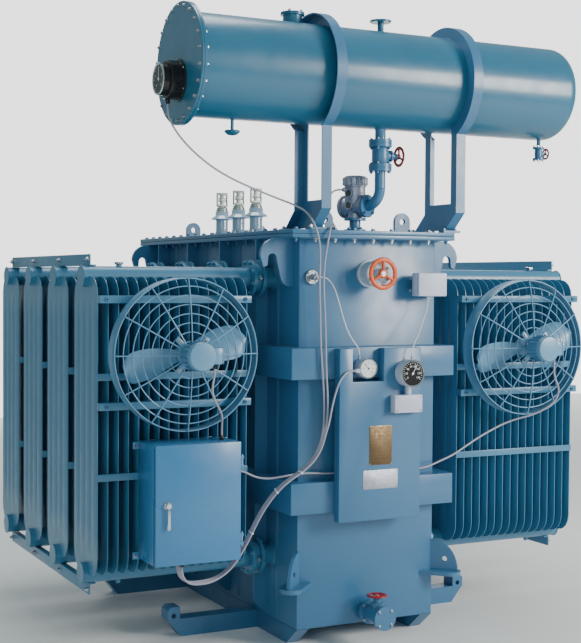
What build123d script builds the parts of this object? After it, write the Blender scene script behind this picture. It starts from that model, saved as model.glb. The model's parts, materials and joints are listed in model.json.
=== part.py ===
from build123d import *

import os
from math import asin, cos, radians, sin, sqrt, tan

os.makedirs("parts", exist_ok=True)

# Tank: the sizes that drive the whole transformer, in millimetres, +Z up
tank_width = 698
tank_length = 1745
tank_height = 1718
skid_height = 80
flange_reach = 65
flange_thickness = 18
lid_thickness = 18
seat_gap = 0.3
moving_gap = 5
overrun = 20
gland_radius = 10
gland_length = 20

# Conservator drum, which lies over the front wall of the tank
shell_radius = 215.5
shell_left_x = -902
shell_right_x = 1007
knuckle_radius = 60
conservator_z = 2504
cover_radius = 253
cover_thickness = 12

# Pads of the jacking lugs, which reach furthest behind the tank
jack_pad_reach = 135
jack_pad_width = 100
jack_corner_reach = (jack_pad_reach - jack_pad_width / 2) / sqrt(2) + jack_pad_width / 2

# Portals that carry the drum
saddle_depth = 42
band_thickness = 6
ring_radius = shell_radius + saddle_depth + band_thickness

# Places in the frame: the origin is under the middle of the whole outline
half_width = tank_width / 2
front_wall_y = (ring_radius - tank_length - max(flange_reach, jack_corner_reach)) / 2
rear_wall_y = front_wall_y + tank_length
tank_centre_y = front_wall_y + tank_length / 2
tank_top_z = skid_height + tank_height
lid_base_z = tank_top_z + flange_thickness
lid_top_z = lid_base_z + lid_thickness
sides = {"left": -1, "right": 1}
ends = {"front": (front_wall_y, -1), "rear": (rear_wall_y, 1)}

# Sides of the prisms that stand for small round pieces
large_sides = 24
round_sides = 16
small_sides = 8


def save(piece, label):
    """Labels a finished piece and writes its STEP file."""
    piece.part.label = label
    export_step(piece.part, f"parts/{label}.step")


# Base frame: two skid rails under the tank walls and two cross beams with jacking plates
rail_width = 60
rail_slant = 100
beam_width = 80
beam_reach = 795
beam_end_slant = 65
beam_inset = 400
beam_plate_width = 58
beam_plate_height = 55
beam_plate_chamfer = 14
beam_eye_radius = 11
beam_eye_z = 95
rail_centre_x = half_width - rail_width / 2

with BuildPart() as base_frame:
    for side in sides.values():
        with BuildSketch(Plane.YZ.offset(side * rail_centre_x - rail_width / 2)):
            with BuildLine():
                Polyline(
                    (front_wall_y, skid_height),
                    (front_wall_y + rail_slant, 0),
                    (rear_wall_y - rail_slant, 0),
                    (rear_wall_y, skid_height),
                    close=True,
                )
            make_face()
        extrude(amount=rail_width)
    for wall_y, outward in ends.values():
        beam_y = wall_y - outward * (beam_inset + beam_width / 2)
        with BuildSketch(Plane.XZ.offset(-beam_y - beam_width / 2)):
            with BuildLine():
                Polyline(
                    (0, 0),
                    (beam_reach - beam_end_slant, 0),
                    (beam_reach, skid_height),
                    (beam_reach, skid_height + beam_plate_height - beam_plate_chamfer),
                    (beam_reach - beam_plate_chamfer, skid_height + beam_plate_height),
                    (beam_reach - beam_plate_width, skid_height + beam_plate_height),
                    (beam_reach - beam_plate_width, skid_height),
                    (0, skid_height),
                    close=True,
                )
            make_face()
            mirror(about=Plane.YZ)
            with Locations(
                (beam_reach - beam_plate_width / 2, beam_eye_z),
                (beam_plate_width / 2 - beam_reach, beam_eye_z),
            ):
                Circle(beam_eye_radius, mode=Mode.SUBTRACT)
        extrude(amount=beam_width)
save(base_frame, "base_frame")

# Tank: a closed, oil-filled housing with a bolting flange round its top
with BuildPart() as tank_body:
    with BuildSketch(Plane.XY.offset(skid_height)):
        with Locations((0, tank_centre_y)):
            Rectangle(tank_width, tank_length)
    extrude(amount=tank_height)
    with BuildSketch(Plane.XY.offset(tank_top_z)):
        with Locations((0, tank_centre_y)):
            Rectangle(tank_width + 2 * flange_reach, tank_length + 2 * flange_reach)
    extrude(amount=flange_thickness)
save(tank_body, "tank_body")

with BuildPart() as tank_lid:
    with BuildSketch(Plane.XY.offset(lid_base_z)):
        with Locations((0, tank_centre_y)):
            Rectangle(tank_width + 2 * flange_reach, tank_length + 2 * flange_reach)
    extrude(amount=lid_thickness)
save(tank_lid, "tank_lid")

# Stiffening bands: two box sections round all four walls
band_reach = 67
band_height = 136
upper_band_z = 1185
lower_band_z = 600


with BuildPart() as tank_bands:
    for base_z in (lower_band_z, upper_band_z):
        with BuildSketch(Plane.XY.offset(base_z)):
            with Locations((0, tank_centre_y)):
                Rectangle(tank_width + 2 * band_reach, tank_length + 2 * band_reach)
                Rectangle(tank_width, tank_length, mode=Mode.SUBTRACT)
        extrude(amount=band_height)
save(tank_bands, "tank_bands")

# Radiators: banks of plate panels on a header above and a header below
row_count = 4
row_inset = 260
panel_width_share = 0.768
panel_count = 16
panel_pitch = 45
panel_thickness = 10
bank_reach = 881
header_radius = 44.5
header_top_z = 1624
header_base_z = 368
header_cap_reach = 20
shoulder_cut = 62
valve_flange_radius = 80
valve_flange_thickness = 16
valve_disc_thickness = 28
valve_disc_radius = 62
valve_stand = 66
valve_inner_x = half_width + valve_stand
header_inner_x = valve_inner_x + 2 * valve_flange_thickness + valve_disc_thickness
outer_panel_x = half_width + bank_reach
row_pitch = (tank_length - 2 * row_inset) / (row_count - 1)
panel_width = panel_width_share * row_pitch
first_row_y = front_wall_y + row_inset
row_places = [first_row_y + row * row_pitch for row in range(row_count)]
panel_front_y = first_row_y - panel_width / 2

# Wall ribs: vertical plates on the long walls, one behind each radiator pipe
rib_reach = 60
rib_thickness = 12
rib_offset = header_radius + rib_thickness
rib_base_z = 100
rib_chamfer = 45
rib_end_cut = 8
rib_spans = [
    (rib_base_z, lower_band_z, rib_chamfer),
    (lower_band_z + band_height, upper_band_z, rib_end_cut),
    (upper_band_z + band_height, tank_top_z, rib_end_cut),
]

with BuildPart() as wall_ribs:
    for side in sides.values():
        for row_y in row_places:
            for base_z, top_z, cut in rib_spans:
                with BuildSketch(Plane.XZ.offset(-row_y - rib_offset)):
                    with BuildLine():
                        Polyline(
                            (side * half_width, base_z),
                            (side * (half_width + rib_reach - cut), base_z),
                            (side * (half_width + rib_reach), base_z + cut),
                            (side * (half_width + rib_reach), top_z),
                            (side * half_width, top_z),
                            close=True,
                        )
                    make_face()
                extrude(amount=rib_thickness / 2, both=True)
save(wall_ribs, "wall_ribs")


def radiator(side):
    """The first radiator of a bank: its panels and the two headers they hang between."""
    outer_x = side * outer_panel_x
    header_length = outer_panel_x + header_cap_reach - header_inner_x
    header_places = ((first_row_y, header_base_z), (first_row_y, header_top_z))
    with BuildPart() as bank:
        with BuildSketch(Plane.YZ.offset(side * header_inner_x)):
            with Locations(*header_places):
                RegularPolygon(header_radius, small_sides)
        extrude(amount=side * header_length)
        with BuildSketch(Plane.YZ.offset(outer_x - side * panel_thickness)) as outline:
            with Locations((first_row_y, (header_base_z + header_top_z) / 2)):
                Rectangle(panel_width, header_top_z - header_base_z)
            chamfer(outline.vertices(), shoulder_cut)
            with Locations(*header_places):
                RegularPolygon(header_radius + seat_gap, small_sides, mode=Mode.SUBTRACT)
        panel = extrude(amount=side * panel_thickness, mode=Mode.PRIVATE)
        steps = [(-side * step * panel_pitch, 0, 0) for step in range(panel_count)]
        with Locations(*steps):
            add(panel)
    return bank


for side_name, side in sides.items():
    first_radiator = radiator(side).part
    for row in range(row_count):
        with BuildPart() as row_radiator:
            with Locations((0, row * row_pitch, 0)):
                add(first_radiator)
        save(row_radiator, f"{side_name}_radiator_{row + 1}")


flange_starts = (valve_inner_x, header_inner_x - valve_flange_thickness)
with BuildPart() as radiator_valves:
    for side in sides.values():
        for row_y in row_places:
            for header_z in (header_base_z, header_top_z):
                with BuildSketch(Plane.YZ.offset(side * half_width)):
                    with Locations((row_y, header_z)):
                        RegularPolygon(header_radius, small_sides)
                extrude(amount=side * (valve_inner_x - half_width))
                with BuildSketch(Plane.YZ.offset(side * valve_inner_x)):
                    with Locations((row_y, header_z)):
                        RegularPolygon(valve_disc_radius, small_sides)
                extrude(amount=side * (header_inner_x - valve_inner_x))
                for start_x in flange_starts:
                    with BuildSketch(Plane.YZ.offset(side * start_x)):
                        with Locations((row_y, header_z)):
                            RegularPolygon(valve_flange_radius, round_sides)
                    extrude(amount=side * valve_flange_thickness)
save(radiator_valves, "radiator_valves")

# Upright angle bars that tie the headers of a bank together
tie_height = 50
tie_thickness = 6
tie_lip = 30
tie_inset = 15
tie_overhang = 15

with BuildPart() as tie_bars:
    for side in sides.values():
        for seat_z, upward in (
            (header_top_z + header_radius + seat_gap, 1),
            (header_base_z - header_radius - seat_gap, -1),
        ):
            outer_x = side * (outer_panel_x - tie_inset)
            with BuildSketch(Plane.XZ.offset(-row_places[-1] - tie_overhang)):
                with BuildLine():
                    Polyline(
                        (outer_x, seat_z),
                        (outer_x - side * tie_lip, seat_z),
                        (outer_x - side * tie_lip, seat_z + upward * tie_thickness),
                        (outer_x - side * tie_thickness, seat_z + upward * tie_thickness),
                        (outer_x - side * tie_thickness, seat_z + upward * tie_height),
                        (outer_x, seat_z + upward * tie_height),
                        close=True,
                    )
                make_face()
            extrude(amount=row_places[-1] - row_places[0] + 2 * tie_overhang)
save(tie_bars, "tie_bars")

strap_height = 30
strap_thickness = 4
strap_levels = (1208, 790)
fan_rail_height = 32
fan_rail_depth = 40
fan_rail_levels = (1530, 1088)
bank_inner_x = outer_panel_x - (panel_count - 1) * panel_pitch - panel_thickness

# Control cabinet in front of the left bank, which its two upright bars carry
cabinet_width = 380
cabinet_inset = 180
cabinet_left_x = cabinet_inset - outer_panel_x
cabinet_base_z = 444
cabinet_height = 496
cabinet_right_x = cabinet_left_x + cabinet_width
cabinet_top_z = cabinet_base_z + cabinet_height
cabinet_bar_inset = 60
cabinet_bars = {
    "left": (cabinet_left_x + cabinet_bar_inset, cabinet_right_x - cabinet_bar_inset),
    "right": (),
}

for side_name, side in sides.items():
    bank_middle_x = side * (outer_panel_x + bank_inner_x) / 2
    bank_width = outer_panel_x - bank_inner_x
    with BuildPart() as straps:
        for level in strap_levels:
            with BuildSketch(Plane.XZ.offset(seat_gap - panel_front_y)):
                with Locations((bank_middle_x, level)):
                    Rectangle(bank_width, strap_height)
            extrude(amount=strap_thickness)
        for bar_x in cabinet_bars[side_name]:
            with BuildSketch(Plane.XZ.offset(seat_gap - panel_front_y)):
                with Locations((bar_x, (cabinet_base_z + cabinet_top_z) / 2)):
                    Rectangle(strap_height, cabinet_height)
            extrude(amount=strap_thickness)
        for level in fan_rail_levels:
            with BuildSketch(Plane.XZ.offset(seat_gap - panel_front_y)):
                with Locations((bank_middle_x, level)):
                    Rectangle(bank_width, fan_rail_height)
            extrude(amount=fan_rail_depth)
    save(straps, f"{side_name}_bank_rails")

# Cooling fans: shroud band, dished wire guard, motor and a two-blade rotor
fan_inset = 357
fan_centre_x = outer_panel_x - fan_inset
fan_centre_z = 1301
fan_radius = 321
shroud_depth = 75
shroud_thickness = 5
fan_back_y = panel_front_y - fan_rail_depth - 2 * seat_gap
fan_front_y = fan_back_y - shroud_depth
guard_dish = 45
guard_ring_shares = (0.80, 0.60, 0.40, 0.20)
guard_wire = 7
guard_spoke_count = 12
motor_radius = 62
motor_length = 105
motor_cap_length = 14
motor_cap_radius = 52
motor_box_size = 60
motor_box_height = 70
motor_gap = 6
motor_foot_count = 4
motor_foot_angle = 45
motor_foot_length = 70
motor_foot_width = 22
motor_foot_thickness = 5
shaft_radius = 10
shaft_hold = 50
hub_radius = 42
hub_length = 44
blade_reach = 280
blade_root = 30
blade_thickness = 5
blade_root_chord = 70
blade_wide_chord = 150
blade_tip_chord = 110
blade_wide_share = 0.6
blade_root_pitch = 40
blade_wide_pitch = 28
blade_tip_pitch = 18
blade_angle = 13
blade_count = 2
guard_front_y = fan_front_y - guard_dish
motor_back_y = guard_front_y - motor_gap
hub_setback = fan_front_y + shroud_depth / 2 - motor_back_y


def dish_y(radius):
    """How far forward the guard's wires lie at a radius from the fan's axis."""
    return fan_front_y - guard_dish * (1 - (radius / fan_radius) ** 2)


def fan_guard(centre_x):
    """The shroud band with the guard rings and spokes in front of it."""
    with BuildPart() as guard:
        with BuildSketch(Plane.XZ.offset(-fan_back_y)):
            with Locations((centre_x, fan_centre_z)):
                RegularPolygon(fan_radius, large_sides)
                RegularPolygon(fan_radius - shroud_thickness, large_sides, mode=Mode.SUBTRACT)
        extrude(amount=shroud_depth)
        for share in guard_ring_shares:
            ring_radius_here = share * fan_radius
            ring_y = dish_y(ring_radius_here)
            with BuildSketch(Plane.XZ.offset(-ring_y)):
                with Locations((centre_x, fan_centre_z)):
                    RegularPolygon(ring_radius_here + guard_wire / 2, large_sides)
                    RegularPolygon(ring_radius_here - guard_wire / 2, large_sides, mode=Mode.SUBTRACT)
            extrude(amount=guard_wire)
        inner_radius = guard_ring_shares[-1] * fan_radius
        for spoke in range(guard_spoke_count):
            spoke_angle = radians(spoke * 360 / guard_spoke_count)
            reach = Vector(cos(spoke_angle), 0, sin(spoke_angle))
            hub = Vector(centre_x, 0, fan_centre_z)
            stations = [share * fan_radius for share in reversed(guard_ring_shares)]
            points = [
                hub + reach * station + Vector(0, dish_y(station) - guard_wire / 2, 0)
                for station in (inner_radius, *stations[1:])
            ]
            points.append(hub + reach * (fan_radius - shroud_thickness / 2) + Vector(0, fan_front_y, 0))
            with BuildLine() as spoke_line:
                Polyline(*points)
            spoke_start = Plane(points[0], z_dir=points[1] - points[0])
            with BuildSketch(spoke_start):
                Rectangle(guard_wire, guard_wire)
            sweep(path=spoke_line.line, transition=Transition.RIGHT)
    return guard


for side_name, side in sides.items():
    save(fan_guard(side * fan_centre_x), f"{side_name}_fan_guard")


def motor_place(centre_x):
    """The plane at the back of a fan motor, facing forward along the fan's axis."""
    return Plane((centre_x, motor_back_y, fan_centre_z), x_dir=(1, 0, 0), z_dir=(0, -1, 0))


def fan_motor(centre_x):
    """The motor, its terminal box and the feet that hold it to the guard's inner ring."""
    place = motor_place(centre_x)
    inner_ring = guard_ring_shares[-1] * fan_radius
    with BuildPart() as motor:
        with BuildSketch(place):
            RegularPolygon(motor_radius, round_sides)
        extrude(amount=motor_length)
        with BuildSketch(place.offset(motor_length)):
            RegularPolygon(motor_cap_radius, round_sides)
        extrude(amount=motor_cap_length)
        with BuildSketch(place.offset(motor_length / 2)):
            with Locations((motor_radius + motor_box_size / 4, 0)):
                Rectangle(motor_box_size, motor_box_height)
        extrude(amount=motor_box_size / 2, both=True)
        gland_place = Plane(
            (
                centre_x + motor_radius + motor_box_size / 4,
                motor_back_y - motor_length / 2,
                fan_centre_z - motor_box_height / 2,
            ),
            z_dir=(0, 0, -1),
        )
        with BuildSketch(gland_place):
            RegularPolygon(gland_radius, small_sides)
        extrude(amount=gland_length)
        with BuildSketch(place):
            with PolarLocations(inner_ring, motor_foot_count, start_angle=motor_foot_angle):
                Rectangle(motor_foot_length, motor_foot_width)
            RegularPolygon(motor_radius, round_sides, mode=Mode.SUBTRACT)
        extrude(amount=motor_foot_thickness)
        with Locations(Plane(place.origin, z_dir=-place.z_dir)):
            Hole(shaft_radius + seat_gap, depth=shaft_hold + moving_gap)
    return motor


def fan_rotor(centre_x):
    """The hub, its shaft and the twisted blades behind the guard."""
    place = motor_place(centre_x)
    hub_place = place.offset(-hub_setback - hub_length / 2)
    stations = (
        (blade_root, blade_root_chord, blade_root_pitch),
        (blade_wide_share * blade_reach, blade_wide_chord, blade_wide_pitch),
        (blade_reach, blade_tip_chord, blade_tip_pitch),
    )
    with BuildPart() as rotor:
        with BuildSketch(hub_place):
            RegularPolygon(hub_radius, round_sides)
        extrude(amount=hub_length)
        with BuildSketch(hub_place):
            Circle(shaft_radius)
        extrude(amount=hub_length / 2 + hub_setback + shaft_hold)
        hub_middle = hub_place.offset(hub_length / 2)
        for blade in range(blade_count):
            turn = radians(blade_angle + blade * 360 / blade_count)
            reach = Vector(cos(turn), 0, sin(turn))
            across = reach.cross(Vector(0, -1, 0))
            for station, chord, pitch in stations:
                station_place = Plane(hub_middle.origin + reach * station, x_dir=across, z_dir=reach)
                with BuildSketch(station_place):
                    Rectangle(chord, blade_thickness, rotation=pitch)
            loft(ruled=True)
    return rotor


for side_name, side in sides.items():
    save(fan_motor(side * fan_centre_x), f"{side_name}_fan_motor")
    save(fan_rotor(side * fan_centre_x), f"{side_name}_fan_rotor")

# Lifting hooks: four plates under the flange, with mouths that open downwards
hook_inset = 65
hook_reach = 160
hook_height = 212
hook_thickness = 20
hook_top_shares = (0.51, 0.0)
hook_crown_shares = (0.88, 0.14)
hook_nose_shares = (1.0, 0.38)
hook_tip_shares = (0.91, 0.60)
hook_lip_shares = (0.79, 0.57)
hook_throat_out_shares = (0.77, 0.43)
hook_throat_top_shares = (0.64, 0.32)
hook_throat_in_shares = (0.51, 0.43)
hook_heel_shares = (0.38, 0.84)
hook_toe_mid_shares = (0.28, 0.95)
hook_toe_shares = (0.11, 1.0)


def hook_point(side, shares):
    """A point of the hook's outline from its shares of the reach and the height."""
    reach_share, drop_share = shares
    return (side * (half_width + reach_share * hook_reach), tank_top_z - drop_share * hook_height)


with BuildPart() as lifting_hooks:
    for side in sides.values():
        for wall_y, outward in ends.values():
            with BuildSketch(Plane.XZ.offset(outward * hook_inset - wall_y)):
                with BuildLine():
                    Polyline(
                        (side * half_width, tank_top_z - hook_height),
                        (side * half_width, tank_top_z),
                        hook_point(side, hook_top_shares),
                    )
                    ThreePointArc(
                        hook_point(side, hook_top_shares),
                        hook_point(side, hook_crown_shares),
                        hook_point(side, hook_nose_shares),
                    )
                    Polyline(
                        hook_point(side, hook_nose_shares),
                        hook_point(side, hook_tip_shares),
                        hook_point(side, hook_lip_shares),
                        hook_point(side, hook_throat_out_shares),
                    )
                    ThreePointArc(
                        hook_point(side, hook_throat_out_shares),
                        hook_point(side, hook_throat_top_shares),
                        hook_point(side, hook_throat_in_shares),
                    )
                    Line(
                        hook_point(side, hook_throat_in_shares),
                        hook_point(side, hook_heel_shares),
                    )
                    ThreePointArc(
                        hook_point(side, hook_heel_shares),
                        hook_point(side, hook_toe_mid_shares),
                        hook_point(side, hook_toe_shares),
                    )
                    Line(
                        hook_point(side, hook_toe_shares),
                        (side * half_width, tank_top_z - hook_height),
                    )
                make_face()
            extrude(amount=hook_thickness / 2, both=True)
save(lifting_hooks, "lifting_hooks")

# Lid lugs: four upright plates with a round top and a hole
lug_width = 80
lug_height = 88
lug_thickness = 16
lug_hole_radius = 14
lug_side_inset = 149
lug_centre_x = half_width - lug_side_inset
lug_insets = {"front": 50, "rear": 185}
lug_round_z = lid_top_z + lug_height - lug_width / 2

with BuildPart() as lid_lugs:
    for end_name, (wall_y, outward) in ends.items():
        lug_y = wall_y - outward * lug_insets[end_name]
        with BuildSketch(Plane.XZ.offset(-lug_y)):
            with Locations((-lug_centre_x, lug_round_z), (lug_centre_x, lug_round_z)):
                Circle(lug_width / 2)
                Rectangle(lug_width, lug_round_z - lid_top_z, align=(Align.CENTER, Align.MAX))
                Circle(lug_hole_radius, mode=Mode.SUBTRACT)
        extrude(amount=lug_thickness / 2, both=True)
save(lid_lugs, "lid_lugs")

# Jacking lugs: a flat pad and a rounded gusset set at 45 degrees on each corner
jack_pad_z = 267
jack_pad_thickness = 18
jack_gusset_reach = 122
jack_gusset_height = 140
jack_gusset_thickness = 14
jack_hole_radius = 12
jack_hole_out_share = 0.5
jack_hole_up_share = 0.38

with BuildPart() as jacking_lugs:
    for side in sides.values():
        for wall_y, outward in ends.values():
            corner = Vector(side * half_width, wall_y, 0)
            diagonal = Vector(side, outward, 0).normalized()
            pad_place = Plane(corner + Vector(0, 0, jack_pad_z), x_dir=diagonal, z_dir=(0, 0, 1))
            with BuildSketch(pad_place):
                with Locations((-jack_pad_width / 2, 0)):
                    Rectangle(jack_pad_reach, jack_pad_width, align=(Align.MIN, Align.CENTER))
                with Locations((jack_pad_reach - jack_pad_width / 2, 0)):
                    Circle(jack_pad_width / 2)
            extrude(amount=jack_pad_thickness)
            gusset_z = jack_pad_z + jack_pad_thickness
            gusset_place = Plane(
                corner + Vector(0, 0, gusset_z),
                x_dir=diagonal,
                z_dir=diagonal.cross(Vector(0, 0, 1)),
            )
            with BuildSketch(gusset_place):
                with Locations((0, 0)):
                    Ellipse(jack_gusset_reach, jack_gusset_height)
                Rectangle(
                    2 * jack_gusset_reach,
                    2 * jack_gusset_height,
                    align=(Align.CENTER, Align.MAX),
                    mode=Mode.SUBTRACT,
                )
                with Locations((-jack_gusset_thickness, 0)):
                    Rectangle(
                        2 * jack_gusset_reach,
                        2 * jack_gusset_height,
                        align=(Align.MAX, Align.CENTER),
                        mode=Mode.SUBTRACT,
                    )
                with Locations(
                    (jack_hole_out_share * jack_gusset_reach, jack_hole_up_share * jack_gusset_height)
                ):
                    Circle(jack_hole_radius, mode=Mode.SUBTRACT)
            extrude(amount=jack_gusset_thickness / 2, both=True)
    with BuildSketch(Plane.XY.offset(jack_pad_z)):
        with Locations((0, tank_centre_y)):
            Rectangle(tank_width, tank_length)
    extrude(amount=2 * jack_gusset_height, mode=Mode.SUBTRACT)
save(jacking_lugs, "jacking_lugs")

# Conservator: the drum, its bolted end cover and the fittings on it
dome_rise = 25
dome_half_width = shell_radius - knuckle_radius
dome_radius = (dome_half_width**2 + dome_rise**2) / (2 * dome_rise)
dome_centre_x = shell_right_x + dome_rise - dome_radius
dome_turn = asin(dome_half_width / dome_radius)
shell_flange_thickness = 12
cover_left_x = shell_left_x - cover_thickness
nozzle_x = -390
nozzle_radius = 42
nozzle_flange_radius = 52
nozzle_height = 30
nozzle_flange_thickness = 14
filler_x = 50
filler_radius = 14
filler_height = 42
filler_cap_radius = 48
filler_cap_thickness = 10
plug_x = -671
plug_stem_radius = 7
plug_stem_length = 45
plug_cap_radius = 33
plug_cap_height = 22
drum_top_z = conservator_z + shell_radius
drum_base_z = conservator_z - shell_radius
axis_y = front_wall_y

with BuildPart() as conservator_shell:
    with BuildSketch(Plane.XZ.offset(-axis_y)) as half_section:
        with BuildLine():
            Polyline(
                (shell_left_x, conservator_z),
                (shell_left_x, conservator_z + cover_radius),
                (shell_left_x + shell_flange_thickness, conservator_z + cover_radius),
                (shell_left_x + shell_flange_thickness, drum_top_z),
                (shell_right_x - knuckle_radius, drum_top_z),
            )
            RadiusArc(
                (shell_right_x - knuckle_radius, drum_top_z),
                (shell_right_x, drum_top_z - knuckle_radius),
                knuckle_radius,
            )
            ThreePointArc(
                (shell_right_x, drum_top_z - knuckle_radius),
                (dome_centre_x + dome_radius * cos(dome_turn / 2), conservator_z + dome_radius * sin(dome_turn / 2)),
                (shell_right_x + dome_rise, conservator_z),
            )
            Line((shell_right_x + dome_rise, conservator_z), (shell_left_x, conservator_z))
        make_face()
    revolve(axis=Axis((0, axis_y, conservator_z), (1, 0, 0)))
save(conservator_shell, "conservator_shell")

with BuildPart() as conservator_cover:
    with BuildSketch(Plane.YZ.offset(cover_left_x)):
        with Locations((axis_y, conservator_z)):
            Circle(cover_radius)
    extrude(amount=cover_thickness)
save(conservator_cover, "conservator_cover")

with BuildPart() as drum_fittings:
    for fitting_x, radius, height, cap_radius, cap_thickness in (
        (nozzle_x, nozzle_radius, nozzle_height, nozzle_flange_radius, nozzle_flange_thickness),
        (filler_x, filler_radius, filler_height, filler_cap_radius, filler_cap_thickness),
    ):
        with BuildSketch(Plane.XY.offset(conservator_z)):
            with Locations((fitting_x, axis_y)):
                RegularPolygon(radius, small_sides)
        extrude(amount=shell_radius + height)
        with BuildSketch(Plane.XY.offset(drum_top_z + height)):
            with Locations((fitting_x, axis_y)):
                RegularPolygon(cap_radius, round_sides)
        extrude(amount=cap_thickness)
    with BuildSketch(Plane.XY.offset(conservator_z)):
        with Locations((plug_x, axis_y)):
            RegularPolygon(plug_stem_radius, small_sides)
    extrude(amount=-shell_radius - plug_stem_length)
    with BuildSketch(Plane.XY.offset(drum_base_z - plug_stem_length)):
        with Locations((plug_x, axis_y)):
            RegularPolygon(plug_cap_radius, round_sides)
    extrude(amount=-plug_cap_height)
    with BuildSketch(Plane.YZ.offset(shell_left_x)):
        with Locations((axis_y, conservator_z)):
            Circle(shell_radius + seat_gap)
    extrude(amount=shell_right_x - shell_left_x, mode=Mode.SUBTRACT)
save(drum_fittings, "drum_fittings")

# Level gauge on the end cover
gauge_drop = 70
gauge_base_radius = 88
gauge_base_thickness = 8
gauge_drum_radius = 80
gauge_drum_length = 50
gauge_face_radius = 67
gauge_face_length = 34
gauge_z = conservator_z - gauge_drop
gauge_face_x = cover_left_x - gauge_base_thickness - gauge_drum_length - gauge_face_length
gauge_gland_x = cover_left_x - gauge_base_thickness - gauge_drum_length + gland_radius

with BuildPart() as level_gauge:
    for start_x, radius, length in (
        (cover_left_x, gauge_base_radius, gauge_base_thickness),
        (cover_left_x - gauge_base_thickness, gauge_drum_radius, gauge_drum_length),
        (gauge_face_x + gauge_face_length, gauge_face_radius, gauge_face_length),
    ):
        with BuildSketch(Plane.YZ.offset(start_x)):
            with Locations((axis_y, gauge_z)):
                RegularPolygon(radius, round_sides)
        extrude(amount=-length)
    with BuildSketch(Plane.XY.offset(gauge_z - gauge_drum_radius - gland_length)):
        with Locations((gauge_gland_x, axis_y)):
            RegularPolygon(gland_radius, small_sides)
    extrude(amount=gland_length + gauge_drum_radius / 2)
save(level_gauge, "level_gauge")

# Portals: a T-section ring over the drum on two legs, with feet that lean back
portal_webs = {"left": (-262, -1), "right": (375, 1)}
portal_leg_y = 130
portal_leg_depth = 45
portal_flange_width = 48
portal_knee_z = 1922
portal_cross_z = 1964
portal_lean = 88
foot_plate_thickness = 10
foot_plate_width = 90
foot_z = lid_top_z + foot_plate_thickness
leg_top_z = conservator_z - sqrt(ring_radius**2 - portal_leg_y**2)


def portal(web_x, outward):
    """One support: web plate, flange band, two legs and the leaning feet."""
    front_y = axis_y - portal_leg_y
    back_y = axis_y + portal_leg_y
    leaned_front_y = front_y + portal_lean
    leaned_back_y = back_y + portal_lean
    with BuildPart() as support:
        with BuildSketch(Plane.YZ.offset(web_x)):
            with Locations((axis_y, conservator_z)):
                Circle(ring_radius)
            with Locations((axis_y, leg_top_z)):
                Rectangle(
                    2 * ring_radius,
                    2 * ring_radius,
                    align=(Align.CENTER, Align.MAX),
                    mode=Mode.SUBTRACT,
                )
            with Locations((axis_y, portal_cross_z)):
                Rectangle(
                    2 * portal_leg_y,
                    conservator_z - portal_cross_z,
                    align=(Align.CENTER, Align.MIN),
                )
            with Locations((axis_y, portal_cross_z)):
                Rectangle(
                    2 * (portal_leg_y - portal_leg_depth),
                    conservator_z - portal_cross_z,
                    align=(Align.CENTER, Align.MIN),
                    mode=Mode.SUBTRACT,
                )
            with BuildLine():
                Polyline(
                    (front_y, portal_cross_z),
                    (front_y, portal_knee_z),
                    (leaned_front_y, foot_z),
                    (leaned_back_y, foot_z),
                    (back_y, portal_knee_z),
                    (back_y, portal_cross_z),
                    close=True,
                )
            make_face()
            with Locations((axis_y, conservator_z)):
                Circle(shell_radius + seat_gap, mode=Mode.SUBTRACT)
        extrude(amount=outward * band_thickness)
        with BuildSketch(Plane.YZ.offset(web_x)):
            with Locations((axis_y, conservator_z)):
                Circle(ring_radius)
                Circle(ring_radius - band_thickness, mode=Mode.SUBTRACT)
            with Locations((axis_y, leg_top_z)):
                Rectangle(
                    2 * ring_radius,
                    2 * ring_radius,
                    align=(Align.CENTER, Align.MAX),
                    mode=Mode.SUBTRACT,
                )
            for leg_y, inward in ((front_y, 1), (back_y, -1)):
                with BuildLine():
                    Polyline(
                        (leg_y, leg_top_z + band_thickness),
                        (leg_y, portal_knee_z),
                        (leg_y + portal_lean, foot_z),
                        (leg_y + portal_lean + inward * band_thickness, foot_z),
                        (leg_y + inward * band_thickness, portal_knee_z),
                        (leg_y + inward * band_thickness, leg_top_z + band_thickness),
                        close=True,
                    )
                make_face()
        extrude(amount=outward * portal_flange_width)
        for foot_y in (leaned_front_y, leaned_back_y):
            with BuildSketch(Plane.XY.offset(lid_top_z)):
                with Locations((web_x + outward * portal_flange_width / 2, foot_y)):
                    Rectangle(foot_plate_width, portal_leg_depth)
            extrude(amount=foot_plate_thickness)
    return support


for side_name, (web_x, outward) in portal_webs.items():
    save(portal(web_x, outward), f"{side_name}_portal")

# Handwheels: one form at several sizes
wheel_spoke_count = 3


def handwheel(place, radius, rim, hub, stem_radius, stem_length):
    """A handwheel on a plane, with its stem running back from it."""
    with BuildPart() as wheel:
        with BuildSketch(place):
            RegularPolygon(radius, large_sides)
            RegularPolygon(radius - rim, large_sides, mode=Mode.SUBTRACT)
        extrude(amount=rim)
        with BuildSketch(place):
            with PolarLocations(0, wheel_spoke_count, start_angle=90):
                Rectangle(radius - rim / 2, rim, align=(Align.MIN, Align.CENTER))
        extrude(amount=rim / 2)
        with BuildSketch(place):
            RegularPolygon(hub, small_sides)
        extrude(amount=rim)
        with BuildSketch(place):
            Circle(stem_radius)
        extrude(amount=-stem_length)
    return wheel


# Tap changer: a round housing on the front wall and its orange handwheel
tap_z = 1645
tap_housing_radius = 62
tap_housing_length = 92
tap_boss_radius = 24
tap_boss_length = 22
tap_wheel_radius = 72
tap_wheel_rim = 13
tap_hub_radius = 20
tap_stem_radius = 9
tap_stem_length = 60
tap_place = Plane((0, front_wall_y, tap_z), x_dir=(1, 0, 0), z_dir=(0, -1, 0))

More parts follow.
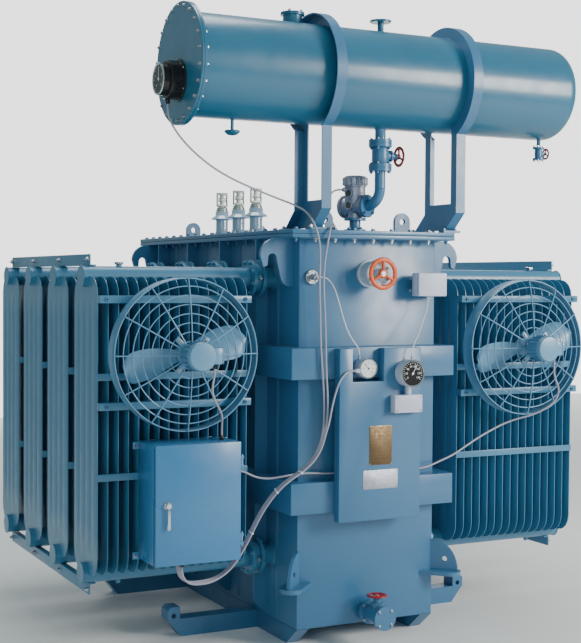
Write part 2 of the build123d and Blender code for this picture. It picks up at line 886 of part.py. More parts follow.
with BuildPart() as tap_changer:
    with BuildSketch(tap_place):
        RegularPolygon(tap_housing_radius, round_sides)
    extrude(amount=tap_housing_length)
    with BuildSketch(tap_place.offset(tap_housing_length)):
        RegularPolygon(tap_boss_radius, small_sides)
    extrude(amount=tap_boss_length)
    with Locations(tap_place.offset(tap_housing_length + tap_boss_length)):
        Hole(tap_stem_radius + seat_gap, depth=tap_stem_length + overrun)
save(tap_changer, "tap_changer")

tap_wheel_place = tap_place.offset(tap_housing_length + tap_boss_length + moving_gap)
save(
    handwheel(
        tap_wheel_place,
        tap_wheel_radius,
        tap_wheel_rim,
        tap_hub_radius,
        tap_stem_radius,
        tap_stem_length,
    ),
    "tap_wheel",
)

# Drain valve at the foot of the front wall, with a blank flange and a red handwheel
drain_z = 133
drain_pipe_radius = 30
drain_stub_length = 25
drain_flange_radius = 54
drain_flange_thickness = 16
drain_body_radius = 42
drain_body_length = 115
drain_bonnet_radius = 16
drain_bonnet_height = 78
drain_stem_radius = 6
drain_stem_length = 40
drain_wheel_radius = 47
drain_wheel_rim = 9
drain_hub_radius = 12
drain_place = Plane((0, front_wall_y, drain_z), x_dir=(1, 0, 0), z_dir=(0, -1, 0))
drain_body_y = front_wall_y - drain_stub_length - drain_flange_thickness - drain_body_length / 2

with BuildPart() as drain_valve:
    with BuildSketch(drain_place):
        RegularPolygon(drain_pipe_radius, small_sides)
    extrude(amount=drain_stub_length)
    with BuildSketch(drain_place.offset(drain_stub_length)):
        RegularPolygon(drain_flange_radius, round_sides)
    extrude(amount=drain_flange_thickness)
    with BuildSketch(drain_place.offset(drain_stub_length + drain_flange_thickness)):
        RegularPolygon(drain_body_radius, round_sides)
    extrude(amount=drain_body_length)
    with BuildSketch(
        drain_place.offset(drain_stub_length + drain_flange_thickness + drain_body_length)
    ):
        RegularPolygon(drain_flange_radius, round_sides)
    extrude(amount=drain_flange_thickness)
    with BuildSketch(Plane((0, drain_body_y, drain_z))):
        RegularPolygon(drain_bonnet_radius, small_sides)
    extrude(amount=drain_bonnet_height)
    with Locations(Plane((0, drain_body_y, drain_z + drain_bonnet_height))):
        Hole(drain_stem_radius + seat_gap, depth=drain_stem_length)
save(drain_valve, "drain_valve")

drain_wheel_z = drain_z + drain_bonnet_height + moving_gap
save(
    handwheel(
        Plane((0, drain_body_y, drain_wheel_z)),
        drain_wheel_radius,
        drain_wheel_rim,
        drain_hub_radius,
        drain_stem_radius,
        drain_stem_length,
    ),
    "drain_wheel",
)

# Oil pipe from the drum through the isolating valve and an elbow to the gas relay
oil_pipe_x = 54
oil_pipe_radius = 24
oil_flange_radius = 52
oil_flange_thickness = 16
oil_top_flange_z = 2226
oil_base_flange_z = 2118
oil_body_radius = 34
oil_elbow_radius = 76
oil_turn_angle = 22
relay_axis_z = 1950
oil_bonnet_radius = 14
oil_bonnet_length = 88
oil_stem_radius = 6
oil_stem_length = 44
oil_wheel_radius = 47
oil_wheel_rim = 9
oil_hub_radius = 12
valve_middle_z = (oil_top_flange_z + oil_base_flange_z) / 2
turn_direction = Vector(-sin(radians(oil_turn_angle)), cos(radians(oil_turn_angle)), 0)
elbow_start = Vector(oil_pipe_x, axis_y, relay_axis_z + oil_elbow_radius)
elbow_end = Vector(oil_pipe_x, axis_y, relay_axis_z) + turn_direction * oil_elbow_radius
elbow_middle = (
    Vector(oil_pipe_x, axis_y, relay_axis_z + oil_elbow_radius)
    + turn_direction * oil_elbow_radius * (1 - sqrt(1 / 2))
    - Vector(0, 0, oil_elbow_radius * sqrt(1 / 2))
)
relay_front_place = Plane(elbow_end, x_dir=(0, 0, 1), z_dir=turn_direction)

with BuildPart() as oil_pipe:
    with BuildSketch(Plane((oil_pipe_x, axis_y, oil_top_flange_z))):
        RegularPolygon(oil_pipe_radius, small_sides)
    extrude(amount=conservator_z - oil_top_flange_z)
    with BuildSketch(Plane.YZ.offset(shell_left_x)):
        with Locations((axis_y, conservator_z)):
            Circle(shell_radius + seat_gap)
    extrude(amount=shell_right_x - shell_left_x, mode=Mode.SUBTRACT)
    for flange_z in (oil_top_flange_z, oil_base_flange_z):
        with BuildSketch(Plane((oil_pipe_x, axis_y, flange_z - oil_flange_thickness))):
            RegularPolygon(oil_flange_radius, round_sides)
        extrude(amount=2 * oil_flange_thickness)
    with BuildSketch(Plane((oil_pipe_x, axis_y, oil_base_flange_z))):
        RegularPolygon(oil_body_radius, small_sides)
    extrude(amount=oil_top_flange_z - oil_base_flange_z)
    with BuildSketch(Plane((oil_pipe_x, axis_y, valve_middle_z), x_dir=(0, 1, 0), z_dir=(1, 0, 0))):
        RegularPolygon(oil_bonnet_radius, small_sides)
    extrude(amount=oil_bonnet_length)
    with BuildLine() as elbow_line:
        Line((oil_pipe_x, axis_y, oil_base_flange_z), elbow_start)
        ThreePointArc(elbow_start, elbow_middle, elbow_end)
    with BuildSketch(Plane((oil_pipe_x, axis_y, oil_base_flange_z))):
        RegularPolygon(oil_pipe_radius, small_sides)
    sweep(path=elbow_line.wire())
    with BuildSketch(relay_front_place.offset(-oil_flange_thickness)):
        RegularPolygon(oil_flange_radius, round_sides)
    extrude(amount=oil_flange_thickness)
    with Locations(
        Plane(
            (oil_pipe_x + oil_bonnet_length, axis_y, valve_middle_z),
            x_dir=(0, 1, 0),
            z_dir=(1, 0, 0),
        )
    ):
        Hole(oil_stem_radius + seat_gap, depth=oil_stem_length + overrun / 2)
save(oil_pipe, "oil_pipe")

save(
    handwheel(
        Plane(
            (oil_pipe_x + oil_bonnet_length + moving_gap, axis_y, valve_middle_z),
            x_dir=(0, 1, 0),
            z_dir=(1, 0, 0),
        ),
        oil_wheel_radius,
        oil_wheel_rim,
        oil_hub_radius,
        oil_stem_radius,
        oil_stem_length,
    ),
    "isolating_wheel",
)

# Gas relay on its nozzle: chamber along the pipe, upright neck and a notched cap
relay_length = 130
relay_chamber_radius = 50
relay_neck_radius = 46
relay_neck_top_z = 2045
relay_cap_radius = 58
relay_cap_height = 46
relay_notch_count = 10
relay_notch_radius = 7
relay_gland_z = 2024
nozzle_stub_radius = 26
nozzle_plate_radius = 50
nozzle_plate_thickness = 12
relay_middle = relay_front_place.offset(relay_length / 2).origin

with BuildPart() as gas_relay:
    with BuildSketch(relay_front_place):
        RegularPolygon(oil_flange_radius, round_sides)
    extrude(amount=relay_length)
    with BuildSketch(Plane(relay_middle)):
        RegularPolygon(relay_neck_radius, round_sides)
    extrude(amount=relay_neck_top_z - relay_axis_z)
    with BuildSketch(Plane((relay_middle.X, relay_middle.Y, relay_neck_top_z))):
        RegularPolygon(relay_cap_radius, large_sides)
        with PolarLocations(relay_cap_radius, relay_notch_count):
            RegularPolygon(relay_notch_radius, small_sides, mode=Mode.SUBTRACT)
    extrude(amount=relay_cap_height)
    with BuildSketch(Plane((relay_middle.X, relay_middle.Y, relay_gland_z), z_dir=(-1, 0, 0))):
        RegularPolygon(gland_radius, small_sides)
    extrude(amount=relay_neck_radius + gland_length)
save(gas_relay, "gas_relay")

relay_base_z = relay_axis_z - oil_flange_radius
with BuildPart() as relay_nozzle:
    with BuildSketch(Plane((relay_middle.X, relay_middle.Y, lid_top_z))):
        RegularPolygon(nozzle_stub_radius, small_sides)
    extrude(amount=relay_axis_z - lid_top_z)
    for plate_z in (lid_top_z, relay_base_z - nozzle_plate_thickness):
        with BuildSketch(Plane((relay_middle.X, relay_middle.Y, plate_z))):
            RegularPolygon(nozzle_plate_radius, round_sides)
        extrude(amount=nozzle_plate_thickness)
    with BuildSketch(relay_front_place.offset(-seat_gap)):
        RegularPolygon(oil_flange_radius + seat_gap, round_sides)
    extrude(amount=relay_length + 2 * seat_gap, mode=Mode.SUBTRACT)
save(relay_nozzle, "relay_nozzle")

# Small drain valve under the right end of the drum
sampling_x = 930
sampling_pipe_radius = 9
sampling_flange_radius = 27
sampling_flange_thickness = 9
sampling_drop = 34
sampling_body_radius = 17
sampling_body_length = 42
sampling_bonnet_length = 34
sampling_bonnet_radius = 8
sampling_stem_radius = 4
sampling_stem_length = 16
sampling_wheel_radius = 27
sampling_wheel_rim = 6
sampling_hub_radius = 7
sampling_top_z = drum_base_z - sampling_drop
sampling_middle_z = sampling_top_z - sampling_flange_thickness - sampling_body_length / 2

with BuildPart() as sampling_valve:
    with BuildSketch(Plane((sampling_x, axis_y, sampling_top_z))):
        RegularPolygon(sampling_pipe_radius, small_sides)
    extrude(amount=conservator_z - sampling_top_z)
    with BuildSketch(Plane.YZ.offset(shell_left_x)):
        with Locations((axis_y, conservator_z)):
            Circle(shell_radius + seat_gap)
    extrude(amount=shell_right_x - shell_left_x, mode=Mode.SUBTRACT)
    for flange_z in (sampling_top_z, sampling_top_z - sampling_flange_thickness - sampling_body_length):
        with BuildSketch(Plane((sampling_x, axis_y, flange_z))):
            RegularPolygon(sampling_flange_radius, round_sides)
        extrude(amount=-sampling_flange_thickness)
    with BuildSketch(Plane((sampling_x, axis_y, sampling_top_z))):
        RegularPolygon(sampling_body_radius, small_sides)
    extrude(amount=-sampling_flange_thickness - sampling_body_length)
    sampling_place = Plane((sampling_x, axis_y, sampling_middle_z), x_dir=(0, 1, 0), z_dir=(1, 0, 0))
    with BuildSketch(sampling_place):
        RegularPolygon(sampling_bonnet_radius, small_sides)
    extrude(amount=sampling_bonnet_length)
    with Locations(sampling_place.offset(sampling_bonnet_length)):
        Hole(sampling_stem_radius + seat_gap, depth=sampling_stem_length + moving_gap)
save(sampling_valve, "sampling_valve")

save(
    handwheel(
        sampling_place.offset(sampling_bonnet_length + moving_gap),
        sampling_wheel_radius,
        sampling_wheel_rim,
        sampling_hub_radius,
        sampling_stem_radius,
        sampling_stem_length,
    ),
    "sampling_wheel",
)

# Instrument panel on the bands, with a notch for the oil thermometer
panel_box_width = 414
panel_box_base_z = 560
panel_box_top_z = 1318
panel_box_depth = 48
notch_left_x = -140
notch_right_x = 15
notch_base_z = 1173
panel_back_y = front_wall_y - band_reach - seat_gap
panel_face_y = panel_back_y - panel_box_depth

with BuildPart() as instrument_panel:
    with BuildSketch(Plane.XZ.offset(-panel_back_y)):
        with Locations((0, (panel_box_base_z + panel_box_top_z) / 2)):
            Rectangle(panel_box_width, panel_box_top_z - panel_box_base_z)
        with Locations((notch_left_x, notch_base_z)):
            Rectangle(
                notch_right_x - notch_left_x,
                panel_box_top_z - notch_base_z,
                align=(Align.MIN, Align.MIN),
                mode=Mode.SUBTRACT,
            )
    extrude(amount=panel_box_depth)
save(instrument_panel, "instrument_panel")

# Oil thermometer in the notch and winding thermometer on the panel
oil_dial_x = -70
oil_dial_z = 1231
oil_dial_radius = 45
oil_dial_length = 62
oil_dial_gland_drop = 9
oil_dial_gland_reach = 54
oil_dial_boss_offset = 30
dial_boss_radius = 6
dial_boss_reach = 12
winding_dial_x = 128
winding_dial_z = 1207
winding_dial_radius = 62
winding_dial_length = 62
winding_dial_boss_offset = 12
winding_dial_boss_reach = 31
winding_neck_radius = 13
winding_box_width = 142
winding_box_height = 78
winding_box_depth = 44
winding_box_x = 118
winding_box_z = 1072

with BuildPart() as oil_thermometer:
    with BuildSketch(Plane.XZ.offset(band_reach + seat_gap - front_wall_y)):
        with Locations((oil_dial_x, oil_dial_z)):
            RegularPolygon(oil_dial_radius, round_sides)
    extrude(amount=oil_dial_length)
    oil_gland_y = front_wall_y - band_reach - oil_dial_gland_reach
    with BuildSketch(Plane((oil_dial_x, oil_gland_y, oil_dial_z - oil_dial_gland_drop), z_dir=(-1, 0, 0))):
        RegularPolygon(gland_radius, small_sides)
    extrude(amount=oil_dial_radius + gland_length)
    oil_boss_y = front_wall_y - band_reach - oil_dial_length / 2
    with BuildSketch(Plane((oil_dial_x - oil_dial_boss_offset, oil_boss_y, oil_dial_z))):
        RegularPolygon(dial_boss_radius, small_sides)
    extrude(amount=oil_dial_radius + dial_boss_reach)
save(oil_thermometer, "oil_thermometer")

with BuildPart() as winding_thermometer:
    with BuildSketch(Plane.XZ.offset(seat_gap - panel_face_y)):
        with Locations((winding_dial_x, winding_dial_z)):
            RegularPolygon(winding_dial_radius, round_sides)
    extrude(amount=winding_dial_length)
    with BuildSketch(Plane.XZ.offset(seat_gap - panel_face_y)):
        with Locations((winding_box_x, winding_box_z)):
            Rectangle(winding_box_width, winding_box_height)
    extrude(amount=winding_box_depth)
    with BuildSketch(Plane((winding_dial_x, panel_face_y - winding_box_depth / 2, winding_box_z))):
        RegularPolygon(winding_neck_radius, small_sides)
    extrude(amount=winding_dial_z - winding_box_z)
    with BuildSketch(
        Plane(
            (
                winding_dial_x + winding_dial_boss_offset,
                panel_face_y - winding_dial_boss_reach,
                winding_dial_z,
            )
        )
    ):
        RegularPolygon(dial_boss_radius, small_sides)
    extrude(amount=winding_dial_radius + dial_boss_reach)
save(winding_thermometer, "winding_thermometer")

# Junction box on two studs, and the thermowell head
junction_inset = 69
junction_x = half_width - junction_inset
junction_z = 1598
junction_width = 150
junction_height = 105
junction_depth = 60
junction_stand = 35
junction_stud_radius = 6
junction_stud_inset = 25
junction_gland_offset = 8
junction_gland_reach = 30
junction_gland_length = 12.5
thermowell_inset = 58
thermowell_x = thermowell_inset - half_width
thermowell_z = 1628
thermowell_radius = 32
thermowell_length = 14
thermowell_stem_radius = 12
thermowell_stem_length = 38
thermowell_boss_reach = 26
thermowell_boss_setback = 12

with BuildPart() as junction_box:
    with BuildSketch(Plane.XZ.offset(junction_stand - front_wall_y)):
        with Locations((junction_x, junction_z)):
            Rectangle(junction_width, junction_height)
    extrude(amount=junction_depth)
    with BuildSketch(Plane.XZ.offset(-front_wall_y)):
        for stud_z in (
            junction_z - junction_height / 2 + junction_stud_inset,
            junction_z + junction_height / 2 - junction_stud_inset,
        ):
            with Locations((junction_x - junction_width / 2 + junction_stud_inset, stud_z)):
                RegularPolygon(junction_stud_radius, small_sides)
    extrude(amount=junction_stand)
    junction_gland_y = front_wall_y - junction_stand - junction_gland_reach
    with BuildSketch(Plane((junction_x - junction_gland_offset, junction_gland_y, junction_z))):
        RegularPolygon(gland_radius, small_sides)
    extrude(amount=-junction_height / 2 - junction_gland_length)
save(junction_box, "junction_box")

with BuildPart() as thermowell:
    with BuildSketch(Plane.XZ.offset(-front_wall_y)):
        with Locations((thermowell_x, thermowell_z)):
            RegularPolygon(thermowell_radius, round_sides)
    extrude(amount=thermowell_length)
    with BuildSketch(Plane.XZ.offset(thermowell_length - front_wall_y)):
        with Locations((thermowell_x, thermowell_z)):
            RegularPolygon(thermowell_stem_radius, small_sides)
    extrude(amount=thermowell_stem_length)
    boss_y = front_wall_y - thermowell_length - thermowell_stem_length + thermowell_boss_setback
    with BuildSketch(Plane((thermowell_x, boss_y, thermowell_z), z_dir=(1, 0, 0))):
        RegularPolygon(dial_boss_radius, small_sides)
    extrude(amount=thermowell_boss_reach)
save(thermowell, "thermowell")

# Control cabinet on two cross brackets, with a hinged door
cabinet_front_reach = 110
cabinet_wall = 8
door_thickness = 22
door_gap = 5
hinge_radius = 8
hinge_pin_radius = 3.5
hinge_length = 50
hinge_inset = 60
hinge_stand = 9
bracket_height = 30
bracket_thickness = 6
bracket_ear = 25
bracket_levels = (456, 919)
base_gland_x = 138
base_gland_pitch = 26
base_gland_places = [front_wall_y - gland * base_gland_pitch for gland in range(3)]
side_gland_z = 356
top_gland_x = 55
top_gland_y = 30
door_front_y = front_wall_y - cabinet_front_reach
cabinet_front_y = door_front_y + door_thickness + door_gap
cabinet_back_y = panel_front_y - strap_thickness - bracket_thickness - 2 * seat_gap
hinge_x = cabinet_right_x + hinge_stand
hinge_y = door_front_y + door_thickness / 2
hinge_levels = (cabinet_base_z + hinge_inset, cabinet_top_z - hinge_inset - hinge_length)

with BuildPart() as control_cabinet:
    with BuildSketch(Plane.XZ.offset(-cabinet_back_y)):
        with Locations((cabinet_left_x, cabinet_base_z)):
            Rectangle(cabinet_width, cabinet_height, align=(Align.MIN, Align.MIN))
    extrude(amount=cabinet_back_y - cabinet_front_y)
    with BuildSketch(Plane.XZ.offset(cabinet_wall - cabinet_back_y)):
        with Locations((cabinet_left_x + cabinet_wall, cabinet_base_z + cabinet_wall)):
            Rectangle(
                cabinet_width - 2 * cabinet_wall,
                cabinet_height - 2 * cabinet_wall,
                align=(Align.MIN, Align.MIN),
            )
    extrude(amount=cabinet_back_y - cabinet_front_y, mode=Mode.SUBTRACT)
    with BuildSketch(Plane.XZ.offset(-cabinet_back_y)):
        for level in bracket_levels:
            with Locations(((cabinet_left_x + cabinet_right_x) / 2, level)):
                Rectangle(cabinet_width + 2 * bracket_ear, bracket_height)
    extrude(amount=-bracket_thickness)
    for hinge_z in hinge_levels:
        bracket_place = Plane.XY.offset(hinge_z - bracket_thickness)
        with BuildSketch(bracket_place):
            with Locations((hinge_x, hinge_y)):
                Circle(hinge_radius)
            with BuildLine():
                Polyline(
                    (hinge_x + hinge_radius, hinge_y),
                    (hinge_x + hinge_radius, cabinet_front_y + hinge_radius),
                    (cabinet_right_x, cabinet_front_y + 2 * hinge_radius),
                    (cabinet_right_x, cabinet_front_y),
                    (hinge_x - hinge_radius, hinge_y),
                    close=True,
                )
            make_face()
        extrude(amount=bracket_thickness - seat_gap)
        with BuildSketch(bracket_place):
            with Locations((hinge_x, hinge_y)):
                Circle(hinge_pin_radius)
        extrude(amount=bracket_thickness + hinge_length)
    for gland_y in base_gland_places:
        with BuildSketch(Plane((cabinet_left_x + base_gland_x, gland_y, cabinet_base_z), z_dir=(0, 0, -1))):
            RegularPolygon(gland_radius, small_sides)
        extrude(amount=gland_length)
    with BuildSketch(Plane((cabinet_right_x, front_wall_y, cabinet_base_z + side_gland_z), z_dir=(1, 0, 0))):
        RegularPolygon(gland_radius, small_sides)
    extrude(amount=gland_length)
    with BuildSketch(Plane((cabinet_right_x - top_gland_x, front_wall_y - top_gland_y, cabinet_top_z))):
        RegularPolygon(gland_radius, small_sides)
    extrude(amount=gland_length)
save(control_cabinet, "control_cabinet")

# Cabinet door and its turning lever
lever_x = -999
lever_z = 694
lever_plate_radius = 17
lever_plate_thickness = 6
lever_boss_radius = 12
lever_boss_length = 14
lever_pin_radius = 5
lever_pin_length = 16
lever_length = 100
lever_width = 16
lever_thickness = 9

with BuildPart() as cabinet_door:
    with BuildSketch(Plane.XZ.offset(-door_front_y - door_thickness)):
        with Locations((cabinet_left_x, cabinet_base_z)):
            Rectangle(cabinet_width, cabinet_height, align=(Align.MIN, Align.MIN))
    extrude(amount=door_thickness)
    with BuildSketch(Plane.XZ.offset(-door_front_y)):
        with Locations((lever_x, lever_z)):
            RegularPolygon(lever_plate_radius, round_sides)
    extrude(amount=lever_plate_thickness)
    for hinge_z in hinge_levels:
        with BuildSketch(Plane.XY.offset(hinge_z)):
            with Locations((hinge_x, hinge_y)):
                Circle(hinge_radius)
            with Locations((hinge_x, hinge_y)):
                Rectangle(
                    hinge_stand,
                    hinge_radius,
                    align=(Align.MAX, Align.CENTER),
                )
            with Locations((hinge_x, hinge_y)):
                Circle(hinge_pin_radius + seat_gap, mode=Mode.SUBTRACT)
        extrude(amount=hinge_length)
    with Locations(
        Plane(
            (lever_x, door_front_y - lever_plate_thickness, lever_z),
            x_dir=(1, 0, 0),
            z_dir=(0, -1, 0),
        )
    ):
        Hole(lever_pin_radius + seat_gap, depth=lever_pin_length + lever_plate_thickness / 2)
save(cabinet_door, "cabinet_door")

lever_place = Plane(
    (lever_x, door_front_y - lever_plate_thickness - seat_gap, lever_z),
    x_dir=(1, 0, 0),
    z_dir=(0, -1, 0),
)
with BuildPart() as door_lever:
    with BuildSketch(lever_place):
        Circle(lever_boss_radius)
    extrude(amount=lever_boss_length)
    with BuildSketch(lever_place.offset(lever_boss_length - lever_thickness)):
        Rectangle(lever_width, lever_length, align=(Align.CENTER, Align.MAX))
    extrude(amount=lever_thickness)
    with BuildSketch(lever_place):
        Circle(lever_pin_radius)
    extrude(amount=-lever_pin_length)
save(door_lever, "door_lever")

# Low-voltage bushings in a row on the lid, each with a drilled flag terminal
bushing_inset = 119
bushing_x = bushing_inset - half_width
bushing_first_share = 0.398
bushing_pitch = 204
bushing_first_y = front_wall_y + bushing_first_share * tank_length
bushing_count = 3
clamp_radius = 52
clamp_height = 16
barrel_radius = 31
barrel_height = 70
shed_radius = 58
shed_height = 20
neck_radius = 34
neck_height = 22
cap_radius = 30
cap_height = 24
flag_width = 60
flag_height = 72
flag_thickness = 10
flag_hole_radius = 7
flag_hole_pitch = 34
bushing_places = [bushing_first_y + place * bushing_pitch for place in range(bushing_count)]
shed_base_z = lid_top_z + clamp_height + barrel_height
cap_base_z = shed_base_z + shed_height + neck_height

with BuildPart() as lv_bushings:
    for bushing_y in bushing_places:
        for base_z, base_radius, height, top_radius in (
            (lid_top_z, clamp_radius, clamp_height, clamp_radius),
            (lid_top_z + clamp_height, barrel_radius, barrel_height, barrel_radius),
            (shed_base_z, shed_radius, shed_height, neck_radius),
            (shed_base_z + shed_height, neck_radius, neck_height, neck_radius),
        ):
            with BuildSketch(Plane((bushing_x, bushing_y, base_z))):
                RegularPolygon(base_radius, round_sides)
            with BuildSketch(Plane((bushing_x, bushing_y, base_z + height))):
                RegularPolygon(top_radius, round_sides)
            loft(ruled=True)
save(lv_bushings, "lv_bushings")

with BuildPart() as lv_terminals:
    for bushing_y in bushing_places:
        with BuildSketch(Plane((bushing_x, bushing_y, cap_base_z))):
            RegularPolygon(cap_radius, round_sides)
        extrude(amount=cap_height)
        flag_middle_z = cap_base_z + cap_height + flag_height / 2
        with BuildSketch(Plane.XZ.offset(-bushing_y)):
            with Locations((bushing_x, flag_middle_z)):
                Rectangle(flag_width, flag_height)
                with GridLocations(flag_hole_pitch, flag_hole_pitch, 2, 2):
                    Circle(flag_hole_radius, mode=Mode.SUBTRACT)
        extrude(amount=flag_thickness / 2, both=True)
save(lv_terminals, "lv_terminals")

# Cables and capillary tubes: x, distance behind the front wall, and z of each route's points
cable_radius = 4.5
capillary_radius = 2.5
arc_share = 0.45
tube_sides = 6
trunk_route = (
    (-276, -94, 960),
    (-296, -93, 890),
    (-335, -90, 834),
    (-388, -86, 792),
    (-444, -80, 760),
    (-490, -64, 716),
    (-524, -40, 662),
    (-553, -17, 600),
    (-580, -2, 535),
    (-612, 4, 472),
    (-652, 4, 414),
    (-694, 3, 374),
    (-742, 1, 350),
)
tail_route = (
    (-800, 0, 343),
    (-864, 0, 345),
    (-894, 0, 362),
    (-912, 0, 392),
    (-912, 0, 424),
)
trunk_pitch = 14
gauge_route = (
    (-962, 0, 2334),
    (-962, 0, 2296),
    (-944, -3, 2250),
    (-903, -5, 2195),
    (-838, -4, 2136),
    (-754, 0, 2080),
    (-662, -2, 2035),
    (-566, -1, 2001),
    (-474, 0, 1970),
    (-396, -8, 1945),
    (-345, -32, 1920),
    (-328, -62, 1888),
    (-317, -84, 1850),
    (-303, -88, 1808),
    (-291, -82, 1762),
    (-287, -78, 1690),
    (-291, -78, 1590),
    (-286, -79, 1480),
    (-285, -80, 1370),
    (-279, -84, 1260),
    (-272, -89, 1150),
    (-269, -93, 1045),
)
relay_route = (
    (-65, 131, 2024),
    (-97, 131, 2024),
    (-126, 128, 2006),
    (-144, 120, 1974),
    (-150, 108, 1936),
    (-148, 92, 1900),
    (-146, 70, 1868),
    (-150, 42, 1850),
    (-166, 10, 1847),
    (-190, -20, 1849),
    (-213, -47, 1852),
    (-234, -71, 1845),
    (-248, -88, 1820),
    (-257, -93, 1786),
    (-264, -89, 1737),
    (-268, -83, 1688),
    (-271, -79, 1620),
    (-268, -79, 1540),
    (-261, -80, 1430),
    (-259, -83, 1320),
    (-260, -91, 1210),
    (-258, -102, 1110),
    (-261, -107, 1025),
)
oil_dial_route = (
    (-135, -121, 1222),
    (-163, -121, 1222),
    (-190, -124, 1207),
    (-210, -123, 1180),
    (-224, -121, 1146),
    (-238, -120, 1100),
    (-250, -121, 1055),
    (-260, -122, 1005),
)
right_fan_route = (
    (-650, 0, 800),
    (-622, 0, 800),
    (-590, -1, 786),
    (-548, -4, 766),
    (-494, -9, 758),
    (-440, -16, 764),
    (-384, -24, 772),
    (-324, -32, 776),
    (-250, -35, 770),
    (-170, -34, 765),
    (-85, -36, 769),
    (5, -34, 764),
    (95, -35, 768),
    (180, -35, 761),
    (250, -34, 760),
    (312, -28, 768),
    (378, -14, 786),
    (455, -1, 806),
    (535, 10, 842),
    (612, 21, 877),
    (690, 32, 906),
    (762, 34, 934),
    (830, 16, 958),
    (886, -14, 974),
    (934, -38, 996),
    (976, -54, 1022),
    (1004, -68, 1054),
    (1008, -80, 1090),
    (992, -92, 1124),
    (968, -103, 1153),
    (953, -111, 1183),
    (950, -115, 1215),
    (950, -115, 1246),
)
left_fan_route = (
    (-796, -115, 1246),
    (-796, -115, 1214),
    (-806, -116, 1178),
    (-802, -112, 1138),
    (-780, -100, 1100),
    (-752, -82, 1066),
    (-734, -56, 1034),
    (-725, -30, 1000),
    (-725, -30, 960),
)
thermowell_route = (
    (-265, -40, 1628),
    (-245, -40, 1628),
    (-227, -46, 1617),
    (-216, -60, 1596),
    (-209, -77, 1566),
    (-203, -91, 1528),
    (-194, -99, 1486),
    (-181, -102, 1440),
    (-164, -103, 1396),
    (-142, -104, 1360),
    (-119, -101, 1334),
    (-100, -98, 1312),
    (-100, -98, 1288),
)
junction_route = (
    (272, -65, 1533),
    (272, -65, 1510),
    (260, -71, 1480),
    (240, -82, 1444),
    (217, -94, 1406),
    (193, -109, 1370),
    (168, -125, 1345),
    (150, -140, 1328),
    (140, -146, 1304),
    (140, -146, 1281),
)


def bundled(route, strand):
    """A route that joins the bundle beside the tank and ends in the cabinet's base gland."""
    trunk = [(x, y - strand * trunk_pitch, z) for x, y, z in trunk_route]
    tail = [(x, y - strand * base_gland_pitch, z) for x, y, z in tail_route]
    return [*route, *trunk, *tail]


def corner_radius(before, corner, after):
    """The largest arc that a corner's two runs allow."""
    turn = (corner - before).get_angle(after - corner)
    shorter_run = min((corner - before).length, (after - corner).length)
    return arc_share * shorter_run / tan(radians(turn / 2))


def tube(route, radius):
    """A plain tube of straight runs and tangent arcs along a route."""
    points = [Vector(x, front_wall_y + y, z) for x, y, z in route]
    corners = zip(points, points[1:], points[2:])
    radii = [corner_radius(*corner) for corner in corners]
    with BuildPart() as cord:
        with BuildLine() as line:
            FilletPolyline(*points, radius=radii)
        with BuildSketch(Plane(points[0], z_dir=points[1] - points[0])) as section:
            RegularPolygon(radius, tube_sides)
        sweep(path=line.wire())
    length = line.wire().length
    filled_share = cord.part.volume / (section.sketch.area * length)
    print(f"length {length:.0f}, tightest {min(radii):.0f}, radii {[round(r) for r in radii]}")
    print(f"volume over section times length {filled_share:.4f}")
    return cord


save(tube(bundled(gauge_route, 0), cable_radius), "cable_level_gauge")
save(tube(bundled(relay_route, 1), cable_radius), "cable_gas_relay")
save(tube(bundled(oil_dial_route, 2), cable_radius), "cable_oil_dial")
save(tube(right_fan_route, cable_radius), "cable_right_fan")
save(tube(left_fan_route, cable_radius), "cable_left_fan")
save(tube(thermowell_route, capillary_radius), "capillary_oil_dial")
save(tube(junction_route, capillary_radius), "capillary_winding_dial")
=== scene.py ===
"""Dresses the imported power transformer: paint, castings, bolts, dials, guards and cables.

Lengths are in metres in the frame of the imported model: +X to the right of the instruments, +Y to
the rear and +Z up from the ground under the skids. Profiles and cable routes are in millimetres.
"""

from __future__ import annotations

import json
import logging
import math
from dataclasses import dataclass, field
from enum import Enum

import bmesh
import bpy
from mathutils import Matrix, Vector


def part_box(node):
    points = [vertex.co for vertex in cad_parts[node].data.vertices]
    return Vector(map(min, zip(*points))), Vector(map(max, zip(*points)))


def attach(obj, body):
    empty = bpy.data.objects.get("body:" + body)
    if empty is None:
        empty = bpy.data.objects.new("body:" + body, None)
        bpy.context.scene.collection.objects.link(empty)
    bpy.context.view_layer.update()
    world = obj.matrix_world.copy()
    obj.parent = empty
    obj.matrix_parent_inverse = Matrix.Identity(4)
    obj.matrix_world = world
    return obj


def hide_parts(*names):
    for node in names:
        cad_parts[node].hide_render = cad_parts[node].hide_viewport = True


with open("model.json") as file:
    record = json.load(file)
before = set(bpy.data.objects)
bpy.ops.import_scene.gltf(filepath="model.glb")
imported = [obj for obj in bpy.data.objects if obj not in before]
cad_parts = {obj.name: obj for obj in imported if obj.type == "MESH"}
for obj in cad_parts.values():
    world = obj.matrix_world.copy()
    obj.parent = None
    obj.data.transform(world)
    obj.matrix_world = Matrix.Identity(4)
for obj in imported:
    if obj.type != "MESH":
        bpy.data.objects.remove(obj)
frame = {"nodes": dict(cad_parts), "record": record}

LOG = logging.getLogger("transformer")
ROOT = "transformer"
MM = 0.001
# Directions, and each side's sign along X
FRONT, REAR, UP, DOWN, RIGHT, LEFT = (0, -1, 0), (0, 1, 0), (0, 0, 1), (0, 0, -1), (1, 0, 0), (-1, 0, 0)
SIDES = {"left": -1, "right": 1}
# Flat outlines and profiles, and the seats and directions of bolts
Points = list[tuple[float, float]]
Seats = list[tuple[Vector, Vector]]

